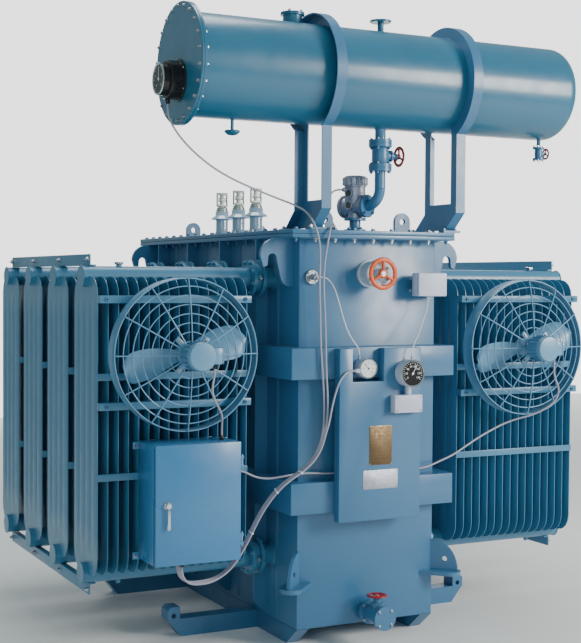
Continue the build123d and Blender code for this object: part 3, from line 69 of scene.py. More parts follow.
# Places that the whole transformer shares
BAND_REACH = 0.067
FRONT_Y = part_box("tank_bands")[0].y + BAND_REACH
HALF_WIDTH = 0.349
TANK_LENGTH = 1.745
REAR_Y = FRONT_Y + TANK_LENGTH
MIDDLE_Y = (FRONT_Y + REAR_Y) / 2
TANK_BASE_Z = 0.080
TANK_TOP_Z = 1.798
LID_TOP_Z = 1.834
DRUM_Z = 2.504
DRUM_RADIUS = 0.2155


# Node trees
def linear(code: str) -> tuple[float, float, float, float]:
    """Turns an sRGB hex colour into linear light.

    Args:
        code: Six hex digits.

    Returns:
        Red, green, blue and an alpha of 1.
    """
    parts = [int(code[i : i + 2], 16) / 255 for i in (0, 2, 4)]
    red, green, blue = (c / 12.92 if c <= 0.04045 else ((c + 0.055) / 1.055) ** 2.4 for c in parts)
    return (red, green, blue, 1.0)


def add_node(tree: bpy.types.NodeTree, kind: str, settings: dict | None = None, **sockets) -> bpy.types.Node:
    """Adds a node with its settings, and fills or links its inputs.

    Args:
        tree: The shader or geometry tree.
        kind: The node's type name.
        settings: Options that are set on the node itself.
        sockets: Input names, with _ for a space, or in_N for the Nth input; each value is a plain
            value, an output socket, or a node whose first output is meant.

    Returns:
        The new node.
    """
    node = tree.nodes.new(kind)
    for name, value in (settings or {}).items():
        setattr(node, name, value)
    for name, value in sockets.items():
        socket = node.inputs[int(name[3:]) if name.startswith("in_") else name.replace("_", " ")]
        if isinstance(value, bpy.types.Node):
            value = value.outputs[0]
        if isinstance(value, bpy.types.NodeSocket):
            tree.links.new(value, socket)
        else:
            socket.default_value = value
    return node


def geometry_tree(name: str, inputs: dict[str, str]) -> tuple[bpy.types.NodeTree, bpy.types.Node]:
    """Starts a geometry tree that takes a mesh and some named values.

    Args:
        name: The tree's name.
        inputs: Input name to socket type, such as {"Pitch": "NodeSocketFloat"}.

    Returns:
        The tree and its input node.
    """
    tree = bpy.data.node_groups.new(name, "GeometryNodeTree")
    given = {"Geometry": "NodeSocketGeometry", **inputs, "Finish": "NodeSocketMaterial"}
    for input_name, socket_type in given.items():
        tree.interface.new_socket(input_name, in_out="INPUT", socket_type=socket_type)
    tree.interface.new_socket("Geometry", in_out="OUTPUT", socket_type="NodeSocketGeometry")
    return tree, add_node(tree, "NodeGroupInput")


def close_tree(tree: bpy.types.NodeTree, given: bpy.types.Node, shape: bpy.types.Node) -> None:
    """Ends a geometry tree in Realize Instances and Set Material.

    Args:
        tree: The tree.
        given: Its input node, which has the Finish socket.
        shape: The node whose geometry is handed out.
    """
    real = add_node(tree, "GeometryNodeRealizeInstances", Geometry=shape)
    painted = add_node(tree, "GeometryNodeSetMaterial", Geometry=real, Material=given.outputs["Finish"])
    add_node(tree, "NodeGroupOutput", Geometry=painted)


def link(name: str, data: bpy.types.ID) -> bpy.types.Object:
    """Puts new data in the scene.

    Args:
        name: The object's name.
        data: Its mesh, curve, camera or light.

    Returns:
        The new object, at the origin.
    """
    made = bpy.data.objects.new(name, data)
    bpy.context.scene.collection.objects.link(made)
    return made


def run_tree(
    name: str, tree: bpy.types.NodeTree, source: bpy.types.Mesh, finish: Finish, **values
) -> bpy.types.Object:
    """Runs a geometry tree once and keeps its result as a plain mesh.

    Args:
        name: The new object's name.
        tree: The geometry tree.
        source: The mesh that goes in.
        finish: The finish of the result.
        values: The tree's inputs by name, with _ for a space.

    Returns:
        An object with a plain mesh, at the origin.
    """
    holder = link(f"{name}_source", source)
    modifier = holder.modifiers.new("shape", "NODES")
    modifier.node_group = tree
    wanted = {key.replace("_", " "): value for key, value in values.items()}
    wanted["Finish"] = finish.material()
    for item in tree.interface.items_tree:
        if item.in_out == "INPUT" and item.name in wanted:
            modifier[item.identifier] = wanted[item.name]
    holder.update_tag()
    bpy.context.view_layer.update()
    mesh = bpy.data.meshes.new_from_object(holder.evaluated_get(bpy.context.evaluated_depsgraph_get()))
    bpy.data.objects.remove(holder)
    return link(name, mesh)


# Finishes
@dataclass(frozen=True)
class Finish:
    """One surface: what it is made of and how it was finished.

    Attributes:
        name: The material's name.
        colour: The main colour as sRGB hex.
        slot: The record's material slot that takes this finish.
    """

    name: str
    colour: str
    slot: str

    def material(self) -> bpy.types.Material:
        """Makes this finish's material on the first call and finds it on later ones.

        Returns:
            The material.
        """
        made = bpy.data.materials.get(self.name)
        if made is None:
            made = bpy.data.materials.new(self.name)
            made.use_nodes = True
            made.node_tree.nodes.clear()
            self.shade(made.node_tree)
        return made

    def shade(self, tree: bpy.types.NodeTree) -> None:
        """Fills the material's empty tree; each kind of finish has its own."""
        raise NotImplementedError

    def close(self, tree: bpy.types.NodeTree, **sockets) -> None:
        """Adds the surface shader, with its inputs, and the output."""
        shader = add_node(tree, "ShaderNodeBsdfPrincipled", **sockets)
        add_node(tree, "ShaderNodeOutputMaterial", Surface=shader)


def clouds(tree: bpy.types.NodeTree, size: float, detail: float) -> bpy.types.NodeSocket:
    """Makes soft noise of a real size that is fixed to the piece.

    Args:
        tree: The shader tree.
        size: The clouds' size in metres.
        detail: Octaves of finer clouds.

    Returns:
        The noise, about 0.3 to 0.7.
    """
    coords = add_node(tree, "ShaderNodeTexCoord").outputs["Object"]
    return add_node(tree, "ShaderNodeTexNoise", Vector=coords, Scale=1 / size, Detail=detail).outputs["Fac"]


def mottle(
    tree: bpy.types.NodeTree, size: float, low: str, high: str, contrast: float = 0.5, detail: float = 3.0
) -> bpy.types.NodeSocket:
    """Mixes two colours in soft clouds of a real size.

    Args:
        tree: The shader tree.
        size: The clouds' size in metres.
        low: The colour between the clouds.
        high: The colour of the clouds.
        contrast: How sharply the clouds end, from 0 to below 1.
        detail: Octaves of finer clouds.

    Returns:
        The colour socket.
    """
    edges = {"From_Min": contrast / 2, "From_Max": 1 - contrast / 2}
    ramp = add_node(tree, "ShaderNodeMapRange", Value=clouds(tree, size, detail), **edges)
    colours = {"in_6": linear(low), "in_7": linear(high)}
    return add_node(tree, "ShaderNodeMix", {"data_type": "RGBA"}, in_0=ramp, **colours).outputs[2]


def relief(tree: bpy.types.NodeTree, size: float, depth: float, **under) -> bpy.types.NodeSocket:
    """Raises the surface in soft bumps of a real size and depth.

    Args:
        tree: The shader tree.
        size: The bumps' size in metres.
        depth: Their depth in metres.
        under: Normal, where these bumps lie on others.

    Returns:
        The normal socket.
    """
    bumps = clouds(tree, size, 2.0)
    return add_node(tree, "ShaderNodeBump", Height=bumps, Distance=depth, Strength=1.0, **under).outputs[0]


@dataclass(frozen=True)
class Enamel(Finish):
    """Alkyd enamel sprayed on steel: a wet gloss over a faint orange peel.

    The eye gets one even colour that pools a little darker where the film is thick, slow waves of
    the plate behind it, and a film of pale dust on what faces up. The real peel is 2 mm wide and is
    drawn 9 mm wide, so that it shows.

    Attributes:
        shade_colour: The colour where the film is thick.
        dust_colour: The dust's colour.
        roughness: How dull the film is.
        dust: How much of the colour the dust takes where it lies thickest.
        peel: The orange peel's depth in metres.
        wave: The depth of the plate's waves in metres.
    """

    shade_colour: str
    dust_colour: str = "9fb4bd"
    roughness: float = 0.38
    dust: float = 0.25
    peel: float = 0.00005
    wave: float = 0.0012

    def shade(self, tree: bpy.types.NodeTree) -> None:
        """Mixes film and dust, and lays the peel on the plate's waves.

        Args:
            tree: The material's empty shader tree.
        """
        film = mottle(tree, 0.45, self.shade_colour, self.colour, 0.2)
        facing = add_node(tree, "ShaderNodeNewGeometry").outputs["Normal"]
        upward = add_node(tree, "ShaderNodeSeparateXYZ", Vector=facing).outputs["Z"]
        specks = clouds(tree, 1 / 14, 6.0)
        slopes = {"From_Min": 0.35, "From_Max": 0.95, "To_Max": self.dust}
        settled = add_node(tree, "ShaderNodeMapRange", Value=upward, **slopes)
        amount = add_node(tree, "ShaderNodeMath", {"operation": "MULTIPLY"}, in_0=settled, in_1=specks)
        pair = {"in_6": film, "in_7": linear(self.dust_colour)}
        dusted = add_node(tree, "ShaderNodeMix", {"data_type": "RGBA"}, in_0=amount, **pair)
        ends = {"To_Min": self.roughness - 0.05, "To_Max": self.roughness + 0.07}
        dull = add_node(tree, "ShaderNodeMapRange", Value=specks, From_Min=0.3, From_Max=0.7, **ends)
        peel = relief(tree, 0.009, self.peel, Normal=relief(tree, 0.28, self.wave))
        coat = {"Coat_Weight": 0.25, "Coat_Roughness": 0.16}
        self.close(tree, Base_Color=dusted.outputs[2], Roughness=dull, Normal=peel, **coat)


@dataclass(frozen=True)
class Metal(Finish):
    """Bare or plated metal, with the grain that its making left.

    The eye gets a broken reflection: fine pits on a casting, faint lines on what was turned.

    Attributes:
        dark_colour: The darker of its two tones.
        roughness: How dull it is.
        grain: The grain's size in metres.
        depth: The grain's depth in metres.
    """

    dark_colour: str
    roughness: float
    grain: float = 0.004
    depth: float = 0.00012

    def shade(self, tree: bpy.types.NodeTree) -> None:
        """Mixes two tones of the metal and lets the grain break the reflection.

        Args:
            tree: The material's empty shader tree.
        """
        tone = mottle(tree, self.grain * 6, self.dark_colour, self.colour, 0.4, 4.0)
        patches = clouds(tree, self.grain * 3, 3.0)
        ends = {"To_Min": self.roughness * 0.75, "To_Max": self.roughness * 1.3}
        dull = add_node(tree, "ShaderNodeMapRange", Value=patches, From_Min=0.3, From_Max=0.7, **ends)
        grain = relief(tree, self.grain, self.depth)
        self.close(tree, Base_Color=tone, Metallic=1.0, Roughness=dull, Normal=grain)


@dataclass(frozen=True)
class Moulding(Finish):
    """Plastic, rubber or glaze: a coloured solid under its own skin.

    The eye gets an even colour with a faint tone from the mould and, by its roughness, either a
    soft sheen or a wet glaze.

    Attributes:
        shade_colour: The darker of its two tones.
        roughness: How dull it is.
        coat: How much of a glaze lies on it, from 0 to 1.
        grain: The size of its skin's grain in metres.
        depth: The grain's depth in metres.
    """

    shade_colour: str
    roughness: float = 0.45
    coat: float = 0.0
    grain: float = 0.006
    depth: float = 0.00004

    def shade(self, tree: bpy.types.NodeTree) -> None:
        """Mixes two close tones and gives the skin its grain.

        Args:
            tree: The material's empty shader tree.
        """
        tone = mottle(tree, 0.08, self.shade_colour, self.colour, 0.3)
        grain = relief(tree, self.grain, self.depth)
        glaze = {"Coat_Weight": self.coat, "Coat_Roughness": 0.08}
        self.close(tree, Base_Color=tone, Roughness=self.roughness, Normal=grain, **glaze)


class Paints(Enum):
    """Every finish of the transformer."""

    # Sprayed enamel on welded plate: a slate blue that the eye reads as one even, half-gloss coat
    TANK = Enamel("tank_enamel", "42769f", "blue_grey_paint", "376a90", "6f97ad", dust=0.1)
    # The tank's enamel on rolled sheet, drawn darker and greener as painted shade for the drum's rounded
    # sides; a little wetter, with one long highlight
    DRUM = Enamel("drum_enamel_painted_shade", "2f7090", "blue_grey_paint", "27617f", "6f97ad", 0.33, 0.06)
    # The tank's enamel on wire, cast iron and pressed blades, drawn paler as painted light, so that the guard
    # stands out
    FAN = Enamel("fan_enamel_painted_light", "6a9bbd", "blue_grey_paint", "5b8cae", "7fa3b5", dust=0.08)
    # Flow-coated enamel on pressed plates: teal in the flutes' shade, pale on their crests
    RADIATOR = Enamel("radiator_enamel", "4783a6", "radiator_paint", "3a7193", "6f97ad", dust=0.1)
    # Stoved enamel on folded sheet: the clearest blue and the smoothest face
    CABINET = Enamel("cabinet_enamel", "3f7fb0", "blue_grey_paint", "3876a6", "6f97ad", 0.32, 0.1)
    # Light grey enamel on the cast housing behind the orange wheel
    PALE = Enamel("pale_grey_enamel", "c9d2dc", "light_grey_paint", "aab8c6")
    # Signal orange on cast iron: full colour with small hard highlights
    ORANGE = Enamel("orange_enamel", "e2560e", "orange_paint", "cf4a08", dust=0.03)
    # Signal red on the small handwheels, darker where the coat pools
    RED = Enamel("red_enamel", "b01814", "red_paint", "8c100e", dust=0.03)
    # Black stoved enamel on the gauge's case: nearly no colour, only its highlight
    BLACK = Enamel("black_enamel", "16181b", "black_enamel", "0e0f11", dust=0.02)
    # Zinc-plated steel bolts and stems: bright, slightly milky
    ZINC = Metal("zinc_plated_steel", "c6cbd2", "bright_metal", "9aa3ad", 0.28)
    # Chromed bezels and lever: nearly a mirror
    CHROME = Metal("chromed_steel", "d6d8dc", "bright_metal", "c2c5ca", 0.12, depth=0.00002)
    # Sand-cast aluminium: a grey skin whose pits scatter the light
    CASTING = Metal("cast_aluminium", "bcbfcc", "bare_aluminium", "9c9fae", 0.5, depth=0.0003)
    # Tinned copper that has weathered to a greenish grey
    COPPER = Metal("tinned_copper", "93a09c", "tinned_copper", "76827f", 0.38)
    # Glazed porcelain: pale blue-grey under a hard wet glaze
    PORCELAIN = Moulding("glazed_porcelain", "a3bccd", "porcelain", "8fa9bb", 0.12, 1.0)
    # Moulded ABS of the boxes and cases: lavender white with a soft sheen
    WHITE = Moulding("white_moulding", "ccd2e4", "white_plastic", "bcc3d6")
    # PVC sheath of the cables: a purplish grey, dull
    SHEATH = Moulding("cable_sheath", "868aa6", "cable_sheath", "72768f", 0.5)
    # Thin plastic coat on the capillary tubes: paler and smoother than the cables
    CAPILLARY = Moulding("capillary_sheath", "a3a3b6", "capillary_sheath", "8e8ea2", 0.4)
    # Printed dial under flat glass: clean white with a clear reflection
    DIAL = Moulding("dial_face", "f0f1f4", "white_plastic", "e4e6ea", 0.3, 1.0)
    # Thick sight glass over dark oil
    GLASS = Moulding("sight_glass", "2e3338", "bare_aluminium", "23272b", 0.08, 1.0)
    # Anodised aluminium plate, brown, with a paler rim and lines
    RATING = Metal("brown_anodised_plate", "7d6a54", "bare_aluminium", "6c5a45", 0.4, depth=0.00003)
    # Its etched field: duller and darker
    RATING_FIELD = Metal("brown_plate_field", "6e5c46", "bare_aluminium", "5f503d", 0.45, depth=0.00003)
    # Nylon ties: small white marks on the bundle
    TIE = Moulding("nylon_tie", "f6f6f8", "white_plastic", "e8e8ec")
    # Rubber gaskets: a dark line between two flanges
    GASKET = Moulding("rubber_gasket", "23262a", "black_enamel", "1a1c1f", 0.7)

    @property
    def finish(self) -> Finish:
        """The finish itself."""
        return self.value


# Mesh making
def at(origin: Vector | tuple, z_dir: tuple = UP, x_dir: tuple | None = None) -> Matrix:
    """Builds the place of a shape that was drawn at the origin.

    Args:
        origin: Where its origin goes.
        z_dir: Where its Z axis points.
        x_dir: Roughly where its X axis points.

    Returns:
        The place as a matrix.
    """
    z = Vector(z_dir).normalized()
    guide = Vector(x_dir or (RIGHT if abs(z.x) < 0.9 else REAR))
    y = z.cross(guide).normalized()
    turn = Matrix((y.cross(z), y, z)).transposed().to_4x4()
    return Matrix.Translation(Vector(origin)) @ turn


def mm(*sizes: float) -> Points:
    """Returns points in metres from pairs of millimetres, such as radius and height."""
    return [(x * MM, y * MM) for x, y in zip(sizes[::2], sizes[1::2])]


def spin(degrees: float, flat: bool = False) -> Vector:
    """Returns the unit vector at a turn from +X to +Z, or to +Y where it is flat."""
    across, along = math.cos(math.radians(degrees)), math.sin(math.radians(degrees))
    return Vector((across, along, 0)) if flat else Vector((across, 0, along))


def circle(radius: float, count: int = 24, centre: tuple = (0.0, 0.0)) -> Points:
    """Returns the corners of a round outline.

    Args:
        radius: Its radius.
        count: How many corners it has.
        centre: Its centre.

    Returns:
        The corners, anticlockwise.
    """
    turns = [2 * math.pi * step / count for step in range(count)]
    return [(centre[0] + radius * math.cos(t), centre[1] + radius * math.sin(t)) for t in turns]


def torus(radius: float, wire: float, height: float = 0.0, sides: int = 8) -> Points:
    """Returns the closed lathe profile of a round ring.

    Args:
        radius: The ring's middle radius.
        wire: The radius of its wire.
        height: The height of its middle.
        sides: Facets round the wire.

    Returns:
        The profile, with its first point repeated.
    """
    points = circle(wire, sides, (radius, height))
    return [*points, points[0]]


def rounded(width: float, height: float, radius: float, steps: int = 4) -> Points:
    """Returns a rectangle's outline with rounded corners, about the origin.

    Args:
        width: Its size along X.
        height: Its size along Y.
        radius: The corners' radius.
        steps: Facets of each corner.

    Returns:
        The corners, anticlockwise.
    """
    points = []
    for corner, (sx, sy) in enumerate(((1, 1), (-1, 1), (-1, -1), (1, -1))):
        for step in range(steps + 1):
            out = spin(90 * (corner + step / steps), flat=True) * radius
            points.append((sx * (width / 2 - radius) + out.x, sy * (height / 2 - radius) + out.y))
    return points


def skin(shape: bmesh.types.BMesh, sheets: list) -> None:
    """Joins two grids of vertices, a front and a back, into one closed skin.

    Args:
        shape: The mesh that holds the vertices.
        sheets: The two grids, as rows of vertices.
    """
    rims = []
    for sheet in sheets:
        for under, over in zip(sheet, sheet[1:]):
            for corners in zip(under, under[1:], over[1:], over):
                shape.faces.new(corners)
        rim = [*sheet[0], *[line[-1] for line in sheet[1:]], *sheet[-1][-2::-1]]
        rims.append([*rim, *[line[0] for line in sheet[-2::-1]]])
    back, front = rims
    for corners in zip(back, back[1:], front[1:], front):
        shape.faces.new(corners)


@dataclass
class Shop:
    """Collects closed shapes in one mesh, each with its own finish.

    Attributes:
        name: The finished piece's name.
        body: The CAD body that it rides on.
        work: The mesh that grows.
        finishes: Its finishes, in the order of their first use.
    """

    name: str
    body: str = ROOT
    work: bmesh.types.BMesh = field(default_factory=bmesh.new)
    finishes: list[Finish] = field(default_factory=list)

    def take(self, shape: bmesh.types.BMesh, place: Matrix, paint: Paints, bevel: float = 0.0) -> None:
        """Adds one closed shape.

        Args:
            shape: The shape at the origin; it is freed.
            place: Where it goes.
            paint: Its finish.
            bevel: The radius of its rounded edges, or 0.
        """
        bmesh.ops.remove_doubles(shape, verts=shape.verts, dist=1e-6)
        bmesh.ops.recalc_face_normals(shape, faces=shape.faces)
        if bevel > 0:
            limit = math.radians(30)
            sharp = [e for e in shape.edges if len(e.link_faces) == 2 and e.calc_face_angle(0.0) > limit]
            form = {"segments": 2, "profile": 0.5, "affect": "EDGES", "clamp_overlap": True}
            bmesh.ops.bevel(shape, geom=sharp, offset=bevel, **form)
        shape.transform(place)
        if place.determinant() < 0:
            bmesh.ops.reverse_faces(shape, faces=shape.faces)
        if paint.finish not in self.finishes:
            self.finishes.append(paint.finish)
        for face in shape.faces:
            face.material_index = self.finishes.index(paint.finish)
            face.smooth = True
        mesh = bpy.data.meshes.new("shape")
        shape.to_mesh(mesh)
        shape.free()
        self.work.from_mesh(mesh)
        bpy.data.meshes.remove(mesh)

    def lathe(self, profile: Points, place: Matrix, paint: Paints, segments: int = 40) -> None:
        """Adds a turned shape about the place's Z axis.

        Args:
            profile: Radius and height of each point, from the axis back to the axis.
            place: Where it goes.
            paint: Its finish.
            segments: Facets round it.
        """
        shape = bmesh.new()
        rings = []
        for radius, height in profile:
            spots = [(0, 0)] if radius < 1e-6 else circle(radius, segments)
            rings.append([shape.verts.new((x, y, height)) for x, y in spots])
        for low, high in zip(rings, rings[1:]):
            for step in range(segments):
                near, far = step, (step + 1) % segments
                corners = [low[near % len(low)], low[far % len(low)]]
                corners += [high[far % len(high)], high[near % len(high)]]
                corners = list(dict.fromkeys(corners))
                if len(corners) > 2:
                    shape.faces.new(corners)
        self.take(shape, place, paint)

    def disc(
        self,
        radius: float,
        height: float,
        place: Matrix,
        paint: Paints,
        segments: int = 40,
        soft: float = 0.0015,
    ) -> None:
        """Adds a disc or a straight rod with softened edges.

        Args:
            radius: Its radius.
            height: Its height along Z.
            place: Where it goes.
            paint: Its finish.
            segments: Facets round it.
            soft: The edges' radius.
        """
        low = [(0, 0), (radius - soft, 0), (radius, soft)]
        high = [(radius, height - soft), (radius - soft, height), (0, height)]
        self.lathe(low + high, place, paint, segments)

    def prism(
        self,
        outline: Points,
        depth: float,
        place: Matrix,
        paint: Paints,
        bevel: float = 0.0015,
        holes: tuple = (),
    ) -> None:
        """Adds a plate of any outline, from the place's XY plane up its Z axis.

        Args:
            outline: Its corners in order.
            depth: Its thickness.
            place: Where it goes.
            paint: Its finish.
            bevel: The radius of its edges.
            holes: Outlines that are cut right through it.
        """
        shape = bmesh.new()
        edges = []
        for loop in (outline, *holes):
            corners = [shape.verts.new((x, y, 0)) for x, y in loop]
            edges += [shape.edges.new((a, b)) for a, b in zip(corners, corners[1:] + corners[:1])]
        if holes:
            bmesh.ops.triangle_fill(shape, use_beauty=True, edges=edges)
        else:
            shape.faces.new(corners)
        pushed = bmesh.ops.extrude_face_region(shape, geom=list(shape.faces))
        moved = [g for g in pushed["geom"] if isinstance(g, bmesh.types.BMVert)]
        bmesh.ops.translate(shape, verts=moved, vec=(0, 0, depth))
        self.take(shape, place, paint, bevel)

    def box(self, low: tuple, high: tuple, paint: Paints, bevel: float = 0.002) -> None:
        """Adds an upright box between two corners.

        Args:
            low: Its lowest corner.
            high: Its highest corner.
            paint: Its finish.
            bevel: The radius of its edges.
        """
        width, depth = high[0] - low[0], high[1] - low[1]
        outline = [(0, 0), (width, 0), (width, depth), (0, depth)]
        self.prism(outline, high[2] - low[2], Matrix.Translation(low), paint, bevel)

    def numeral(self, text: str, size: float, place: Matrix, paint: Paints) -> None:
        """Adds a plain number that stands centred on the place's XY plane.

        Args:
            text: The number.
            size: Its height.
            place: Where it goes.
            paint: Its finish.
        """
        curve = bpy.data.curves.new(f"number_{text}", "FONT")
        curve.body = text
        curve.size = size
        curve.align_x = curve.align_y = "CENTER"
        curve.extrude = size * 0.02
        curve.resolution_u = 2
        holder = link("number", curve)
        mesh = bpy.data.meshes.new_from_object(holder)
        bpy.data.objects.remove(holder)
        shape = bmesh.new()
        shape.from_mesh(mesh)
        bpy.data.meshes.remove(mesh)
        self.take(shape, place, paint)

    def tube(self, line: list[Vector], radius: float, paint: Paints, sides: int = 16) -> None:
        """Adds a round bar or pipe along a line of points, with closed ends.

        Args:
            line: The points.
            radius: The bar's radius.
            paint: Its finish.
            sides: Facets round it.
        """
        shape = bmesh.new()
        rings = []
        across = None
        for index, point in enumerate(line):
            along = (line[min(index + 1, len(line) - 1)] - line[max(index - 1, 0)]).normalized()
            across = along.orthogonal() if across is None else across - along * across.dot(along)
            across.normalize()
            other = along.cross(across)
            rings.append([shape.verts.new(point + across * x + other * y) for x, y in circle(radius, sides)])
        for low, high in zip(rings, rings[1:]):
            for corners in zip(low, low[1:] + low[:1], high[1:] + high[:1], high):
                shape.faces.new(corners)
        shape.faces.new(rings[0])
        shape.faces.new(rings[-1])
        self.take(shape, Matrix.Identity(4), paint)

    def done(self, replaces: tuple[str, ...] = (), slot: str | None = None, angle: float = 35.0) -> None:
        """Turns the shapes into one piece that rides on its body.

        Args:
            replaces: The CAD nodes that it stands for.
            slot: The record's material slot, or that of the first finish; not used.
            angle: Edges sharper than this many degrees stay sharp.
        """
        mesh = bpy.data.meshes.new(self.name)
        self.work.to_mesh(mesh)
        self.work.free()
        for finish in self.finishes:
            mesh.materials.append(finish.material())
        mesh.set_sharp_from_angle(angle=math.radians(angle))
        mount(link(self.name, mesh), self.body, replaces)


def mount(piece: bpy.types.Object, body: str, replaces: tuple[str, ...] = ()) -> None:
    """Sets a finished piece on its body and hides the CAD nodes that it stands for.

    Args:
        piece: The piece, in place.
        body: The CAD body that it rides on.
        replaces: The CAD nodes that it stands for.
    """
    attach(piece, body)
    if replaces:
        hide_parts(*replaces)
    LOG.info("%s: %d faces on %s", piece.name, len(piece.data.polygons) if piece.type == "MESH" else 0, body)


# Bolts
def bolt_circle(centre: Vector, axis: tuple, radius: float, count: int, first: float = 0.0) -> Seats:
    """Places bolts round a flange.

    Args:
        centre: The flange's middle.
        axis: Where the heads point.
        radius: The bolt circle's radius.
        count: How many there are.
        first: The first one's turn in degrees.

    Returns:
        Their seats and directions.
    """
    place = at(centre, axis)
    turns = [first + 360 * step / count for step in range(count)]
    return [(place @ (spin(turn, flat=True) * radius), Vector(axis).normalized()) for turn in turns]


@dataclass
class BoltSet:
    """Hexagon bolts with washers, all of one size, made by one geometry tree.

    Attributes:
        name: The piece's name.
        places: Each bolt's seat and the direction of its head.
        flats: Width across the head's flats, in millimetres, as are the other sizes.
        head: Height of the head.
        washer: Radius of the washer.
        washer_height: Thickness of the washer.
        stud: Length of thread that shows beyond the head.
        paint: Their finish.
    """

    name: str
    places: Seats
    flats: float
    head: float
    washer: float
    washer_height: float = 1.5
    stud: float = 3.0
    paint: Paints = Paints.ZINC

    @staticmethod
    def tree() -> bpy.types.NodeTree:
        """Makes the geometry tree that sets one bolt on every point, or finds it.

        Returns:
            The tree, whose sizes are its inputs.
        """
        made = bpy.data.node_groups.get("hexagon_bolts")
        if made is not None:
            return made
        names = [f"{part} Radius" for part in ("Corner", "Washer", "Stud")]
        names += ["Head Height", "Washer Height", "Stud Length"]
        tree, given = geometry_tree("hexagon_bolts", {name: "NodeSocketFloat" for name in names})
        corner, washer, stud, head, thin, length = (given.outputs[name] for name in names)
        sums = (("MULTIPLY", thin, 0.5), ("MULTIPLY", corner, 0.9), ("ADD", thin, head))
        half, crown, top = (
            add_node(tree, "ShaderNodeMath", {"operation": operation}, in_0=first, in_1=second)
            for operation, first, second in sums
        )
        lifted = {"in_0": length, "in_1": 0.5, "in_2": top}
        raised = add_node(tree, "ShaderNodeMath", {"operation": "MULTIPLY_ADD"}, **lifted)
        shapes = (
            ("Cylinder", {"Vertices": 16, "Radius": washer, "Depth": thin}, half),
            ("Cone", {"Vertices": 6, "Radius_Top": crown, "Radius_Bottom": corner, "Depth": head}, thin),
            ("Cylinder", {"Vertices": 10, "Radius": stud, "Depth": length}, raised),
        )
        bolt = add_node(tree, "GeometryNodeJoinGeometry")
        for kind, sizes, height in shapes:
            lift = add_node(tree, "ShaderNodeCombineXYZ", Z=height)
            mesh = add_node(tree, f"GeometryNodeMesh{kind}", **sizes)
            moved = add_node(tree, "GeometryNodeTransform", Geometry=mesh, Translation=lift)
            tree.links.new(moved.outputs[0], bolt.inputs[0])
        axis = add_node(tree, "GeometryNodeInputNamedAttribute", {"data_type": "FLOAT_VECTOR"}, Name="axis")
        turn = add_node(tree, "FunctionNodeAlignRotationToVector", {"axis": "Z"}, Vector=axis)
        points = {"Points": given.outputs["Geometry"], "Instance": bolt, "Rotation": turn}
        close_tree(tree, given, add_node(tree, "GeometryNodeInstanceOnPoints", **points))
        return tree

    def build(self) -> None:
        """Sets the bolts on loose points that carry their directions."""
        mesh = bpy.data.meshes.new(self.name)
        mesh.from_pydata([tuple(seat) for seat, _ in self.places], [], [])
        axis = mesh.attributes.new("axis", "FLOAT_VECTOR", "POINT")
        for index, (_, direction) in enumerate(self.places):
            axis.data[index].vector = direction
        head = {"Corner_Radius": self.flats * MM / math.sqrt(3), "Head_Height": self.head * MM}
        washer = {"Washer_Radius": self.washer * MM, "Washer_Height": self.washer_height * MM}
        stud = {"Stud_Radius": self.flats * MM * 0.28, "Stud_Length": self.stud * MM}
        piece = run_tree(self.name, self.tree(), mesh, self.paint.finish, **head, **washer, **stud)
        mount(piece, ROOT)


def spot(x: float, y: float, z: float) -> Vector:
    """Returns a point from millimetres, with y counted from the front wall's plane."""
    return Vector((x * MM, FRONT_Y + y * MM, z * MM))


def four_seats(middle: Vector, width: float, height: float) -> Seats:
    """Places four screws near the corners of a lid that faces the front.

    Args:
        middle: The middle of its face.
        width: The screws' distance along X.
        height: Their distance along Z.

    Returns:
        Their seats and directions.
    """
    steps = [Vector((x * width / 2, 0, z * height / 2)) for x in (-1, 1) for z in (-1, 1)]
    return [(middle + step, Vector(FRONT)) for step in steps]


# Cooling
# Places of the four rows and of the plates in a row
ROW_PITCH = (TANK_LENGTH - 0.520) / 3
ROW_Y = [FRONT_Y + 0.260 + row * ROW_PITCH for row in range(4)]
PANEL_WIDTH = 0.768 * ROW_PITCH
PANEL_PITCH = 0.045
PANEL_COUNT = 16
PANEL_FACE_Y = ROW_Y[0] - PANEL_WIDTH / 2
OUTER_PANEL_X = HALF_WIDTH + 0.881
INNER_PANEL_X = OUTER_PANEL_X - (PANEL_COUNT - 1) * PANEL_PITCH
HEADER_RADIUS = 0.0445
HEADER_LEVELS = (0.368, 1.624)
HEADER_INNER_X = HALF_WIDTH + 0.126
RAIL_LEVELS = (1.530, 1.088)
STRAP_LEVELS = (1.208, 0.790)


def smooth(value: float) -> float:
    """Eases a value from 0 to 1 between flat ends."""
    held = min(max(value, 0.0), 1.0)
    return held * held * (3 - 2 * held)


